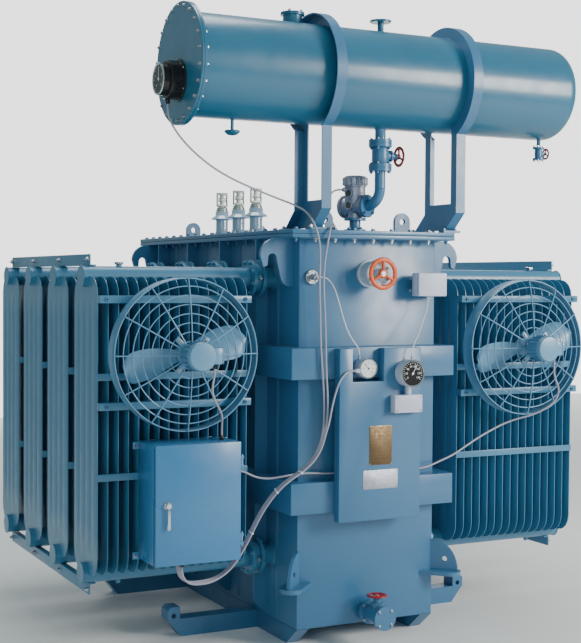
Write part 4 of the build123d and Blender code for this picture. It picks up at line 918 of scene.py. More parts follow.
@dataclass
class PlateRadiator:
    """One radiator: sixteen fluted plates between an upper and a lower header.

    Attributes:
        side_name: "left" or "right".
        row: Its number from the front, from 1.
        shoulder: The radius of a plate's corners.
        flutes: How many flutes a plate has.
        flute_rise: How far a flute stands out.
        seam: Half the thickness of the welded edge.
    """

    side_name: str
    row: int
    shoulder: float = 0.085
    flutes: int = 4
    flute_rise: float = 0.0058
    seam: float = 0.0016

    def plate(self) -> bpy.types.Mesh:
        """Makes the outermost plate: two pressed sheets welded round their edge.

        Returns:
            The plate, in place.
        """
        low, high = HEADER_LEVELS
        steps = (0.0, 0.004, 0.014, 0.030, 0.052, 0.085, 0.125, 0.165, 0.210, 0.300)
        rows = [low + step for step in steps] + [high - step for step in reversed(steps)]
        columns = self.flutes * 6
        middle = Vector((SIDES[self.side_name] * (OUTER_PANEL_X - 0.005), ROW_Y[self.row - 1], 0))
        shape = bmesh.new()
        sheets = []
        for way in (-1, 1):
            sheet = []
            for z in rows:
                from_end = min(z - low, high - z)
                inside = max(self.shoulder - from_end, 0.0)
                reach = PANEL_WIDTH / 2 - self.shoulder + math.sqrt(self.shoulder**2 - inside**2)
                depth = smooth((from_end - 0.075) / 0.12)
                line = []
                for column in range(columns + 1):
                    share = 2 * column / columns - 1
                    bump = abs(math.sin(math.pi * self.flutes * (share + 1) / 2)) ** 0.75
                    fade = 1 - smooth((abs(share) - 0.93) / 0.07)
                    rise = self.seam + self.flute_rise * depth * bump * fade
                    line.append(shape.verts.new(middle + Vector((way * rise, share * reach, z))))
                sheet.append(line)
            sheets.append(sheet)
        skin(shape, sheets)
        bmesh.ops.recalc_face_normals(shape, faces=shape.faces)
        for face in shape.faces:
            face.smooth = True
        mesh = bpy.data.meshes.new("plate")
        shape.to_mesh(mesh)
        shape.free()
        return mesh

    @staticmethod
    def tree() -> bpy.types.NodeTree:
        """Makes the geometry tree that repeats a plate along a header, or finds it.

        Returns:
            The tree, whose inputs are the count and the step.
        """
        made = bpy.data.node_groups.get("plate_row")
        if made is not None:
            return made
        tree, given = geometry_tree("plate_row", {"Count": "NodeSocketInt", "Step": "NodeSocketVector"})
        steps = {"Count": given.outputs["Count"], "Offset": given.outputs["Step"]}
        line = add_node(tree, "GeometryNodeMeshLine", **steps)
        points = {"Points": line, "Instance": given.outputs["Geometry"]}
        close_tree(tree, given, add_node(tree, "GeometryNodeInstanceOnPoints", **points))
        return tree

    def build(self) -> None:
        """Makes the plates and the two headers with their caps."""
        side, y = SIDES[self.side_name], ROW_Y[self.row - 1]
        node = f"{self.side_name}_radiator_{self.row}"
        values = {"Count": PANEL_COUNT, "Step": Vector((-side * PANEL_PITCH, 0, 0))}
        plates = run_tree(f"{node}_plates", self.tree(), self.plate(), Paints.RADIATOR.finish, **values)
        plates.data.set_sharp_from_angle(angle=math.radians(25))
        mount(plates, ROOT, (node,))
        shop = Shop(f"{node}_headers")
        for z in HEADER_LEVELS:
            pipe, cap = [at((side * x, y, z), (side, 0, 0)) for x in (HEADER_INNER_X, OUTER_PANEL_X + 0.013)]
            shop.disc(HEADER_RADIUS, OUTER_PANEL_X + 0.014 - HEADER_INNER_X, pipe, Paints.RADIATOR, 36)
            shop.disc(HEADER_RADIUS + 0.003, 0.007, cap, Paints.RADIATOR, 36, 0.002)
        shop.done(angle=40)


@dataclass
class RadiatorValves:
    """Pipe stubs with a flanged butterfly valve between the tank and every header."""

    def build(self) -> None:
        """Turns the sixteen valves and sets their bolts and spindles."""
        valve = mm(0, 0, 52.5, 0, 44.5, 8, 44.5, 66, 80, 66, 80, 82, 62, 82, 62, 110, 80, 110, 80, 126, 0, 126)
        shop = Shop("header_valves")
        bolts = []
        for side in SIDES.values():
            x = side * (HALF_WIDTH + 0.096)
            for y in ROW_Y:
                for z in HEADER_LEVELS:
                    shop.lathe(valve, at((side * HALF_WIDTH, y, z), (side, 0, 0)), Paints.RADIATOR)
                    shop.disc(0.012, 0.022, at((x, y - 0.058, z), FRONT), Paints.RADIATOR, 20)
                    low, high = (x - 0.007, y - 0.088, z - 0.007), (x + 0.007, y - 0.078, z + 0.007)
                    shop.box(low, high, Paints.ZINC, 0.001)
                    for reach, way in ((0.066, -side), (0.126, side)):
                        flange = Vector((side * (HALF_WIDTH + reach), y, z))
                        bolts += bolt_circle(flange, (way, 0, 0), 0.070, 8, 22.5)
        shop.done(("radiator_valves",))
        BoltSet("valve_bolts", bolts, 14, 7, 9, paint=Paints.RADIATOR).build()


@dataclass
class BankFittings:
    """Tie bars with their bolts, the fan rails, the straps and the vent plugs."""

    def build(self) -> None:
        """Makes the bars of both banks."""
        crown, base = HEADER_LEVELS[1] + HEADER_RADIUS, HEADER_LEVELS[0] - HEADER_RADIUS
        angle = mm(0, 0, -30, 0, -30, 6, -6, 6, -6, 50, 0, 50)
        face = PANEL_FACE_Y - 0.0003
        shop = Shop("bank_bars")
        tied, railed = [], []
        for side in SIDES.values():
            outer = side * (OUTER_PANEL_X - 0.015)
            for z, up in ((crown, 1), (base, -1)):
                axes = Matrix(((side, 0, 0), (0, 0, 1), (0, up, 0))).to_4x4()
                place = Matrix.Translation((outer, ROW_Y[0] - 0.015, z + up * 0.0003)) @ axes
                shop.prism(angle, ROW_Y[3] - ROW_Y[0] + 0.030, place, Paints.RADIATOR, 0.0012)
                tied += [(Vector((outer, y, z + up * 0.028)), Vector((side, 0, 0))) for y in ROW_Y]
            left, right = sorted((side * (INNER_PANEL_X - 0.010), side * OUTER_PANEL_X))
            for z in RAIL_LEVELS:
                shop.box((left, face - 0.040, z - 0.016), (right, face, z + 0.016), Paints.RADIATOR, 0.003)
                ends = (INNER_PANEL_X + 0.020, OUTER_PANEL_X - 0.030)
                railed += [(Vector((side * x, face - 0.040, z)), Vector(FRONT)) for x in ends]
            fronts = [y - PANEL_WIDTH / 2 - 0.0003 for y in ROW_Y]
            straps = [(left, right, y, z - 0.015, z + 0.015) for z in STRAP_LEVELS for y in fronts]
            if side < 0:
                straps += [(x - 0.015, x + 0.015, face, 0.444, 0.940) for x in (-0.990, -0.730)]
            for start, end, y, low, high in straps:
                shop.box((start, y - 0.004, low), (end, y, high), Paints.RADIATOR, 0.001)
            x = side * (OUTER_PANEL_X - 0.150)
            shop.disc(0.012, 0.012, at((x, ROW_Y[0], crown - 0.004)), Paints.RADIATOR, 20)
            shop.disc(0.020, 0.011, at((x, ROW_Y[0], crown + 0.007)), Paints.ZINC, 6)
            shop.disc(0.011, 0.018, at((x, ROW_Y[0], base + 0.004), DOWN), Paints.RADIATOR, 6)
        shop.done(("tie_bars", "left_bank_rails", "right_bank_rails"))
        BoltSet("bank_bolts", tied, 16, 8, 12, 2.5, 6).build()
        BoltSet("rail_bolts", railed, 14, 6, 10, 2, 0, Paints.RADIATOR).build()


# Fans
FAN_X = OUTER_PANEL_X - 0.357
FAN_Z = 1.301
FAN_RADIUS = 0.321
FAN_FRONT_Y = PANEL_FACE_Y - 0.0406 - 0.075
GUARD_DISH = 0.045
MOTOR_BACK_Y = FAN_FRONT_Y - GUARD_DISH - 0.006


@dataclass
class CoolingFan:
    """A fan before the first radiator: guard, motor and rotor.

    Attributes:
        side_name: "left" or "right".
        rings: How many wire rings the guard has.
        spokes: How many spokes it has.
        wire: The radius of its wire.
        blade_reach: The radius of the blades' tips.
    """

    side_name: str
    rings: int = 7
    spokes: int = 12
    wire: float = 0.0026
    blade_reach: float = 0.280

    @property
    def centre(self) -> Vector:
        """The middle of the guard's front edge."""
        return Vector((SIDES[self.side_name] * FAN_X, FAN_FRONT_Y, FAN_Z))

    def dish(self, radius: float) -> float:
        """Returns how far the guard stands forward at a radius."""
        return GUARD_DISH * (1 - (radius / FAN_RADIUS) ** 2)

    def guard(self) -> None:
        """Makes the shroud, the wire rings and the spokes."""
        shop = Shop(f"{self.side_name}_guard")
        place = at(self.centre, FRONT)
        back = mm(318, -75, 321, -75, 321, -70, 319, -66)
        front = mm(319, -8, 321, -4, 321, 0, 317, 0, 316, -4, 316, -70, 318, -75)
        shop.lathe(back + front, place, Paints.FAN, 96)
        for ring in range(self.rings):
            radius = 0.058 + ring * (FAN_RADIUS - 0.055) / self.rings
            shop.lathe(torus(radius, self.wire, self.dish(radius)), place, Paints.FAN, 72)
        radii = [0.045 + step * (FAN_RADIUS - 0.047) / 8 for step in range(8)]
        stands = [(radius, self.dish(radius) + 2 * self.wire) for radius in radii]
        stands.append((FAN_RADIUS - 0.002, self.wire))
        for spoke in range(self.spokes):
            out = spin(360 * spoke / self.spokes)
            line = [self.centre + out * radius - Vector((0, stand, 0)) for radius, stand in stands]
            shop.tube(line, self.wire * 1.15, Paints.FAN, 8)
        shop.done((f"{self.side_name}_fan_guard",), angle=40)

    def motor(self) -> None:
        """Makes the finned casing, its cover, terminal box, gland and four arms."""
        shop = Shop(f"{self.side_name}_motor")
        back = Vector((self.centre.x, MOTOR_BACK_Y, FAN_Z))
        casing = mm(0, 0, 46, 0, 50, 6, 50, 20, 55, 26, 55, 86, 61, 89, 61, 108, 56, 115, 30, 119, 0, 119)
        shop.lathe(casing, at(back, FRONT), Paints.FAN, 48)
        for fin in range(20):
            out = spin(9 + fin * 18)
            beside_box = abs(out.z) < 0.35 and out.x > 0
            if not beside_box:
                place = at(back + out * 0.0575 - Vector((0, 0.026, 0)), FRONT, out)
                shop.prism(mm(-5, -1.2, 4.5, -0.8, 4.5, 0.8, -5, 1.2), 0.060, place, Paints.FAN, 0.0)
        low = back + Vector((0.047, -0.0825, -0.035))
        shop.box(low, low + Vector((0.055, 0.060, 0.070)), Paints.FAN, 0.007)
        shop.box(low + Vector((0.055, 0.002, 0.002)), low + Vector((0.060, 0.058, 0.068)), Paints.FAN)
        gland_place = at(back + Vector((0.077, -0.0525, -0.035)), DOWN)
        shop.disc(0.010, 0.012, gland_place, Paints.BLACK, 6, 0.001)
        shop.lathe(mm(0, 10, 9, 10, 6, 20, 0, 20), gland_place, Paints.BLACK, 20)
        for turn in (45, 135, 225, 315):
            place = at(back + spin(turn) * 0.066, FRONT, spin(turn))
            shop.prism(rounded(0.066, 0.022, 0.006, 2), 0.005, place, Paints.FAN, 0.001)
        shop.done((f"{self.side_name}_fan_motor",), angle=38)
        bolts = bolt_circle(back - Vector((0, 0.005, 0)), FRONT, 0.084, 4, 45)
        bolts += [(back + Vector((0.052, -0.0825, z)), Vector(FRONT)) for z in (0.028, -0.028)]
        BoltSet(f"{self.side_name}_motor_bolts", bolts, 10, 5, 7.5, 1.5, 2).build()

    def blade(self, middle: Vector, turn: float) -> bmesh.types.BMesh:
        """Makes a leaf-shaped, twisted and cambered blade from its two faces.

        Args:
            middle: The middle of the hub.
            turn: The blade's turn in degrees.

        Returns:
            The closed blade, in place.
        """
        across_count, along_count = 10, 16
        out = spin(turn)
        side = out.cross(Vector(FRONT))
        shape = bmesh.new()
        sheets = []
        for way in (-1, 1):
            sheet = []
            for step in range(along_count + 1):
                share = step / along_count
                root = middle + out * (0.030 + share * (self.blade_reach - 0.030))
                chord = 0.060 + 0.092 * math.sin(math.pi * min(share * 0.74 + 0.02, 1.0))
                chord *= math.sqrt(max(1 - max(share - 0.82, 0) ** 2 / 0.036, 0.02))
                twist = Matrix.Rotation(math.radians(38 - 20 * share), 2)
                line = []
                for place in range(across_count + 1):
                    across = place / across_count - 0.5
                    swell = 1 - (2 * across) ** 2
                    lift = 0.016 * swell * (0.4 + 0.6 * share) + way * (0.0008 + 0.0016 * swell)
                    u, v = twist @ Vector((across * chord, lift))
                    line.append(shape.verts.new(root + side * u - Vector((0, v + 0.003, 0))))
                sheet.append(line)
            sheets.append(sheet)
        skin(shape, sheets)
        return shape

    def rotor(self) -> None:
        """Makes the hub, the shaft and the two blades."""
        shop = Shop(f"{self.side_name}_rotor", f"{self.side_name}_fan_blades")
        middle = Vector((self.centre.x, FAN_FRONT_Y + 0.0375, FAN_Z))
        hub = mm(0, 0, 36, 0, 42, 6, 42, 36, 36, 44, 10, 46, 10, 180, 0, 180)
        shop.lathe(hub, at(middle + Vector((0, 0.022, 0)), FRONT), Paints.FAN)
        for turn in (13, 193):
            shop.take(self.blade(middle, turn), Matrix.Identity(4), Paints.FAN)
        shop.done((f"{self.side_name}_fan_rotor",), "blue_grey_paint", 50)

    def build(self) -> None:
        """Makes the whole fan."""
        self.guard()
        self.motor()
        self.rotor()


# Tank
BAND_HEIGHT = 0.136
LOW_BAND_Z = 0.600
HIGH_BAND_Z = 1.185
FLANGE_REACH = 0.065


@dataclass
class Tank:
    """The housing: walls, bolted flange and lid, bands, weld beads and bolts."""

    def walls(self) -> None:
        """Makes the walls with their flange and gasket, and the lid."""
        reach, front, rear = HALF_WIDTH + FLANGE_REACH, FRONT_Y - FLANGE_REACH, REAR_Y + FLANGE_REACH
        seam, top = TANK_TOP_Z + 0.0165, TANK_TOP_Z + 0.018
        inset = 0.003
        shop = Shop("tank_walls")
        shop.box((-HALF_WIDTH, FRONT_Y, TANK_BASE_Z), (HALF_WIDTH, REAR_Y, TANK_TOP_Z), Paints.TANK, 0.004)
        shop.box((-reach, front, TANK_TOP_Z), (reach, rear, seam), Paints.TANK, 0.0015)
        shop.box((inset - reach, front + inset, seam), (reach - inset, rear - inset, top), Paints.GASKET, 0.0)
        shop.done(("tank_body",))
        lid = Shop("lid")
        lid.box((-reach, front, top), (reach, rear, LID_TOP_Z), Paints.TANK)
        lid.done(("tank_lid",))

    def bands(self) -> None:
        """Makes the two box bands."""
        outer = rounded(2 * (HALF_WIDTH + BAND_REACH), TANK_LENGTH + 2 * BAND_REACH, 0.006, 2)
        inner = [(x * HALF_WIDTH, y * TANK_LENGTH / 2) for x, y in ((1, 1), (-1, 1), (-1, -1), (1, -1))]
        shop = Shop("bands")
        for z in (LOW_BAND_Z, HIGH_BAND_Z):
            shop.prism(outer, BAND_HEIGHT, Matrix.Translation((0, MIDDLE_Y, z)), Paints.TANK, 0.003, (inner,))
        shop.done(("tank_bands",))

    def beads(self) -> None:
        """Lays the weld beads along the bands, under the flange and beside the wall ribs."""
        walls = (-HALF_WIDTH, HALF_WIDTH)
        low_top, high_top = LOW_BAND_Z + BAND_HEIGHT, HIGH_BAND_Z + BAND_HEIGHT
        lines = []
        for z in (LOW_BAND_Z, low_top, HIGH_BAND_Z, high_top, TANK_TOP_Z):
            lines += [((walls[0], y, z), (walls[1], y, z)) for y in (FRONT_Y, REAR_Y)]
            lines += [((x, FRONT_Y, z), (x, REAR_Y, z)) for x in walls]
        rib_sides = [y - HEADER_RADIUS - 0.012 + edge for y in ROW_Y for edge in (-0.006, 0.006)]
        for low, high in ((0.100, LOW_BAND_Z), (low_top, HIGH_BAND_Z), (high_top, TANK_TOP_Z)):
            lines += [((x, y, low), (x, y, high)) for x in walls for y in rib_sides]
        shop = Shop("weld_beads")
        for start, end in lines:
            shop.tube([Vector(start), Vector(end)], 0.0035, Paints.TANK, 6)
        shop.done()

    def bolts(self) -> None:
        """Sets the bolts of the lid and the nuts under the flange, about 100 mm apart."""
        across, along = HALF_WIDTH + 0.036, TANK_LENGTH / 2 + 0.036
        columns, rows = round(20 * across), round(20 * along)
        seats = [(across * (2 * n / columns - 1), y) for n in range(columns + 1) for y in (-along, along)]
        seats += [(x, along * (2 * n / rows - 1)) for n in range(1, rows) for x in (-across, across)]
        tops = [(Vector((x, MIDDLE_Y + y, LID_TOP_Z)), Vector(UP)) for x, y in seats]
        nuts = [(Vector((x, MIDDLE_Y + y, TANK_TOP_Z)), Vector(DOWN)) for x, y in seats]
        BoltSet("lid_bolts", tops, 19, 8, 13, 2, 0, Paints.TANK).build()
        # Nuts beyond the walls take the tank's enamel, not zinc: painted shade, dark as in the shadow under
        # the side flanges
        painted = [nut for nut in nuts if abs(nut[0].x) > HALF_WIDTH]
        bright = [nut for nut in nuts if abs(nut[0].x) <= HALF_WIDTH]
        BoltSet("lid_side_nuts_painted_shade", painted, 17, 10, 12, 2, 6, Paints.TANK).build()
        BoltSet("lid_nuts", bright, 17, 10, 12, 2, 7).build()

    def build(self) -> None:
        """Makes the whole tank."""
        for make in (self.walls, self.bands, self.beads, self.bolts):
            make()


# Drum
COVER_RADIUS = 0.253
COVER_X = -0.914
SHELL_LEFT_X = -0.902
SHELL_RIGHT_X = 1.007


@dataclass
class Conservator:
    """The oil drum over the front wall: shell, bolted cover, nozzle, filler and plug.

    Attributes:
        knuckle: The radius of the bend into the domed end.
        dome_rise: How far the dome stands out.
        cover_bolts: How many bolts hold the cover.
    """

    knuckle: float = 0.060
    dome_rise: float = 0.025
    cover_bolts: int = 22

    def shell(self) -> None:
        """Turns the shell with its flange, knuckle and dome."""
        length = SHELL_RIGHT_X - SHELL_LEFT_X
        flat = DRUM_RADIUS - self.knuckle
        profile = [(0, 0), (COVER_RADIUS, 0), (COVER_RADIUS, 0.012), (DRUM_RADIUS, 0.012)]
        for step in range(9):
            bend = spin(90 * step / 8) * self.knuckle
            profile.append((flat + bend.x, length - self.knuckle + bend.z))
        for share in (5 / 6, 4 / 6, 3 / 6, 2 / 6, 1 / 6, 0.0):
            profile.append((flat * share, length + self.dome_rise * (1 - share**2)))
        shop = Shop("drum_shell")
        shop.lathe(profile, at((SHELL_LEFT_X, FRONT_Y, DRUM_Z), RIGHT), Paints.DRUM, 96)
        shop.done(("conservator_shell",))

    def cover(self) -> None:
        """Makes the cover, its gasket and its ring of bolts."""
        shop = Shop("drum_cover")
        place = at((SHELL_LEFT_X, FRONT_Y, DRUM_Z), LEFT)
        shop.disc(COVER_RADIUS, 0.012, place, Paints.DRUM, 96, 0.002)
        shop.disc(COVER_RADIUS - 0.004, 0.001, place, Paints.GASKET, 96, 0.0003)
        shop.done(("conservator_cover",))
        bolts = []
        for x, way in ((COVER_X, LEFT), (SHELL_LEFT_X + 0.012, RIGHT)):
            middle = Vector((x, FRONT_Y, DRUM_Z))
            bolts += bolt_circle(middle, way, 0.2355, self.cover_bolts, 180 / self.cover_bolts)
        BoltSet("cover_bolts", bolts, 14, 7, 9).build()

    def fittings(self) -> None:
        """Makes the blanked nozzle, the filler and the plug."""
        top, base = DRUM_Z + DRUM_RADIUS, DRUM_Z - DRUM_RADIUS
        nozzle = mm(0, -12, 46, -12, 42, 4, 42, 30, 52, 31, 52, 36, 50, 36.5, 50, 37.5)
        nozzle += mm(52, 38, 52, 43, 50, 44, 0, 44)
        filler = mm(0, -12, 18, -12, 14, 4, 14, 42, 46, 42, 48, 44, 48, 50, 46, 52, 0, 52)
        plug = mm(0, -12, 12, -12, 7, 3, 7, 45, 31, 45, 33, 48, 33, 53, 20, 64, 6, 67, 0, 67)
        shop = Shop("drum_nozzles")
        shop.lathe(nozzle, at((-0.390, FRONT_Y, top)), Paints.DRUM, 48)
        shop.lathe(filler, at((0.050, FRONT_Y, top)), Paints.DRUM, 48)
        shop.lathe(plug, at((-0.671, FRONT_Y, base), DOWN), Paints.DRUM)
        shop.done(("drum_fittings",))
        bolts = bolt_circle(Vector((-0.390, FRONT_Y, top + 0.044)), UP, 0.040, 4, 45)
        BoltSet("nozzle_bolts", bolts, 13, 6, 8.5).build()

    def build(self) -> None:
        """Makes the drum and everything on it."""
        self.shell()
        self.cover()
        self.fittings()


# Pipes and valves
PIPE_X = 0.054
RUN = Vector((-math.sin(math.radians(22)), math.cos(math.radians(22)), 0))
RELAY_Z = 1.950
RELAY_FRONT = Vector((PIPE_X, FRONT_Y, RELAY_Z)) + RUN * 0.076
RELAY_MIDDLE = RELAY_FRONT + RUN * 0.065


@dataclass
class Handwheel:
    """A cast handwheel with three dished spokes on its stem.

    Attributes:
        name: The start of its CAD node's and its body's names.
        origin: The middle of its rear face.
        axis: Where its face points.
        radius: Its outer radius.
        rim: The thickness of its rim.
        hub: The radius of its hub.
        stem: Radius and length of the stem behind it.
        paint: Its finish.
    """

    name: str
    origin: Vector
    axis: tuple
    radius: float
    rim: float
    hub: float
    stem: tuple[float, float]
    paint: Paints = Paints.RED

    def build(self) -> None:
        """Turns the rim and hub and sets the spokes, the stem and the nut."""
        shop = Shop(f"{self.name}_wheel_piece", f"{self.name}_handwheel")
        place, axis = at(self.origin, self.axis), Vector(self.axis)
        half, broad = self.rim / 2, self.rim * 0.82
        rim = [(self.radius - broad + broad * x, half + half * y) for x, y in circle(1.0, 14)]
        shop.lathe([*rim, rim[0]], place, self.paint, 56)
        shares = [(0, 0), (1, 0), (1, 0.6), (0.8, 0.95), (0, 0.95)]
        shop.lathe([(self.hub * x, self.rim * y) for x, y in shares], place, self.paint, 32)
        for turn in (90, 210, 330):
            out = spin(turn, flat=True) * (self.radius - half)
            line = []
            for share in (0.1, 0.4, 0.7, 1.0):
                lift = half * (0.9 + 0.25 * math.sin(math.pi * share))
                line.append(place @ (out * share + Vector((0, 0, lift))))
            shop.tube(line, half * 1.05, self.paint, 10)
        radius, length = self.stem
        stem = at(self.origin + axis * self.rim * 0.4, -axis)
        nut = at(self.origin + axis * self.rim * 0.55, axis)
        shop.disc(radius, length + self.rim * 0.4, stem, Paints.ZINC, 24, 0.0006)
        shop.disc(self.hub * 0.62, self.rim * 0.42, nut, Paints.ZINC, 6, 0.0006)
        shop.done((f"{self.name}_wheel",), self.paint.finish.slot, 40)


@dataclass
class OilPipe:
    """The pipe from the drum to the relay, with its isolating valve."""

    def build(self) -> None:
        """Turns the straight run, bends the elbow and bolts the flanges."""
        radius, bend = 0.024, 0.076
        run = mm(0, 0, 29, 0, 24, 7, 24, 50.5, 52, 50.5, 52, 65.8, 49, 66, 49, 67, 52, 67.2, 52, 82.5)
        run += mm(34, 82.5, 38, 94.5, 38, 144.5, 34, 158.5)
        run += mm(52, 158.5, 52, 173.8, 49, 174, 49, 175, 52, 175.2, 52, 190.5)
        run += mm(24, 190.5, 24, 266.5, 0, 266.5)
        bonnet = mm(0, 20, 20, 20, 20, 46, 26, 48, 26, 56, 14, 59, 14, 80, 10, 88, 0, 88)
        base = Vector((PIPE_X, FRONT_Y, RELAY_Z + bend))
        turns = [spin(90 * step / 12) * bend for step in range(13)]
        elbow = [base + RUN * (bend - turn.x) - Vector((0, 0, turn.z)) for turn in turns]
        shop = Shop("oil_pipe_piece")
        shop.lathe(run, at((PIPE_X, FRONT_Y, DRUM_Z - DRUM_RADIUS + 0.004), DOWN), Paints.TANK)
        shop.tube(elbow, radius, Paints.TANK, 28)
        shop.disc(0.052, 0.011, at(RELAY_FRONT - RUN * 0.0113, RUN), Paints.TANK)
        shop.lathe(bonnet, at((PIPE_X, FRONT_Y, 2.172), RIGHT), Paints.TANK, 32)
        shop.done(("oil_pipe",), angle=38)
        levels = ((2.210, DOWN), (2.242, UP), (2.102, DOWN), (2.134, UP))
        flanges = [(Vector((PIPE_X, FRONT_Y, z)), way) for z, way in levels]
        flanges += [(RELAY_FRONT - RUN * 0.0113, -RUN), (RELAY_FRONT + RUN * 0.011, RUN)]
        bolts = bolt_circle(Vector((*RELAY_MIDDLE.xy, 1.846)), UP, 0.039, 4, 20)
        for middle, way in flanges:
            bolts += bolt_circle(middle, way, 0.041, 4, 45)
        BoltSet("pipe_bolts", bolts, 13, 6, 8.5, paint=Paints.TANK).build()


@dataclass
class GasRelay:
    """The cast relay on its nozzle: chamber, sight windows, castellated cap and gland."""

    def casting(self) -> None:
        """Makes the casting with its notched cap and its four windows."""
        middle = RELAY_MIDDLE.xy
        shop = Shop("relay_piece")
        chamber = mm(0, 0, 52, 0, 52, 11, 43, 14, 41, 40, 41, 90, 43, 116, 52, 119, 52, 130, 0, 130)
        shop.lathe(chamber, at(RELAY_FRONT, RUN), Paints.CASTING)
        neck = mm(0, -52, 34, -52, 32, -30, 46, 0, 46, 86, 50, 88, 50, 94.5, 0, 94.5)
        shop.lathe(neck, at(RELAY_MIDDLE), Paints.CASTING)
        notched = []
        for turn in [360 * step / 160 for step in range(160)]:
            radius = 0.058 - 0.0075 * max(math.cos(math.radians(10 * turn)), 0.0) ** 2
            notched.append(tuple(spin(turn, flat=True).xy * radius))
        shop.prism(notched, 0.034, Matrix.Translation((*middle, 2.0455)), Paints.CASTING)
        crown = mm(0, 0, 50, 0, 48, 7, 30, 10.5, 12, 11.5, 0, 11.5)
        shop.lathe(crown, at((*middle, 2.079)), Paints.CASTING)
        frame_ring = mm(15, 1.5, 16.5, 0, 20.5, 0, 22, 1.5, 22, 14, 20.5, 15.5, 16.5, 15.5, 15, 14, 15, 1.5)
        for way in (-1, 1):
            out = Vector((-RUN.y, RUN.x, 0)) * way
            for z in (1.953, 2.008):
                window = at(Vector((*middle, z)) + out * 0.036, out)
                shop.lathe(frame_ring, window, Paints.CASTING, 28)
                shop.disc(0.0155, 0.0125, window, Paints.GLASS, 28, 0.001)
        boss = mm(0, 0, 13, 0, 13, 22, 10, 24, 9.5, 34, 6, 35.5, 0, 35.5)
        shop.lathe(boss, at((middle.x - 0.030, middle.y, 2.024), LEFT), Paints.CASTING, 24)
        shop.done(("gas_relay",), angle=38)

    def build(self) -> None:
        """Makes the relay and the nozzle that it stands on."""
        self.casting()
        shop = Shop("relay_nozzle_piece")
        stub = mm(0, 0, 50, 0, 50, 12, 30, 12, 26, 18, 26, 52, 50, 52, 50, 63.5, 0, 63.5)
        shop.lathe(stub, at((*RELAY_MIDDLE.xy, LID_TOP_Z)), Paints.TANK)
        shop.done(("relay_nozzle",), angle=38)


@dataclass
class SmallValves:
    """The drain valve, the tap changer's housing, the sampling valve and all handwheels."""

    def drain(self) -> Seats:
        """Turns the drain valve.

        Returns:
            The seats of its bolts.
        """
        shop = Shop("drain_valve_piece")
        valve = mm(0, 0, 36, 0, 30, 6, 30, 25, 54, 25, 54, 40.5, 38, 42, 36, 56, 43, 76, 43, 122)
        valve += mm(36, 142, 38, 154, 54, 156, 54, 163.5, 52, 164, 52, 165, 54, 165.5, 54, 172, 0, 172)
        shop.lathe(valve, at(spot(0, 0, 133), FRONT), Paints.TANK, 44)
        bonnet = mm(0, 20, 28, 20, 26, 46, 32, 48, 32, 56, 16, 59, 16, 72, 11, 78, 0, 78)
        shop.lathe(bonnet, at(spot(0, -98.5, 133)), Paints.TANK, 36)
        shop.done(("drain_valve",), angle=38)
        bolts = bolt_circle(spot(0, -41, 133), FRONT, 0.044, 4, 45)
        for y, way in ((-172, FRONT), (-156, REAR)):
            bolts += bolt_circle(spot(0, y, 133), way, 0.043, 4, 45)
        return bolts

    def tap(self) -> Seats:
        """Turns the tap changer's housing.

        Returns:
            The seats of its bolts.
        """
        shop = Shop("tap_piece")
        housing = mm(0, 0, 62, 0, 62, 12, 55, 14, 55, 72, 62, 75, 62, 90, 59, 92.5, 26, 92.5)
        housing += mm(24, 96, 24, 112, 21, 114, 0, 114)
        shop.lathe(housing, at(spot(0, 0, 1645), FRONT), Paints.PALE, 56)
        shop.done(("tap_changer",))
        return bolt_circle(spot(0, -92.5, 1645), FRONT, 0.050, 6, 30)

    def sampling(self) -> Seats:
        """Turns the sampling valve.

        Returns:
            The seats of its bolts.
        """
        shop = Shop("sampling_piece")
        valve = mm(0, 0, 12, 0, 9, 4, 9, 36, 27, 36, 27, 45, 17, 46.5, 19, 66, 17, 85.5, 27, 87, 27, 96, 0, 96)
        shop.lathe(valve, at((0.930, FRONT_Y, DRUM_Z - DRUM_RADIUS + 0.002), DOWN), Paints.TANK, 32)
        bonnet = mm(0, 0, 12, 0, 12, 24, 8, 26, 8, 34, 0, 34)
        shop.lathe(bonnet, at(spot(930, 0, 2224.5), RIGHT), Paints.TANK, 24)
        shop.done(("sampling_valve",), angle=38)
        upper = bolt_circle(spot(930, 0, 2254.5), UP, 0.021, 4, 45)
        return upper + bolt_circle(spot(930, 0, 2194.5), DOWN, 0.021, 4, 45)

    def build(self) -> None:
        """Makes the housings with their bolts and sets the four wheels."""
        bolts = self.drain() + self.tap() + self.sampling()
        BoltSet("valve_cover_bolts", bolts, 11, 5, 7, 1.2, 2).build()
        tap, drain, sampling = spot(0, -119, 1645), spot(0, -98.5, 216), spot(969, 0, 2224.5)
        isolating = Vector((PIPE_X + 0.093, FRONT_Y, 2.172))
        Handwheel("tap", tap, FRONT, 0.072, 0.013, 0.020, (0.009, 0.060), Paints.ORANGE).build()
        Handwheel("drain", drain, UP, 0.047, 0.009, 0.012, (0.006, 0.040)).build()
        Handwheel("isolating", isolating, RIGHT, 0.047, 0.009, 0.012, (0.006, 0.044)).build()
        Handwheel("sampling", sampling, RIGHT, 0.027, 0.006, 0.007, (0.004, 0.016)).build()


# Gauges and dials
BAND_FACE_Y = FRONT_Y - BAND_REACH - 0.0003


def gland(shop: Shop, seat: Vector, axis: tuple, length: float, paint: Paints = Paints.BLACK) -> None:
    """Makes a cable gland: a hexagon, its nut and the tapered seal.

    Args:
        shop: The piece that it is part of.
        seat: The middle of its seat.
        axis: Where the cable leaves it.
        length: Its length.
        paint: Its finish.
    """
    place = at(seat, axis)
    seal = [(0, 0.4), (0.0095, 0.4), (0.0092, 0.8), (0.0062, 1), (0, 1)]
    shop.disc(0.0105, length * 0.45, place, paint, 6, 0.0008)
    shop.lathe([(radius, length * share) for radius, share in seal], place, paint, 24)


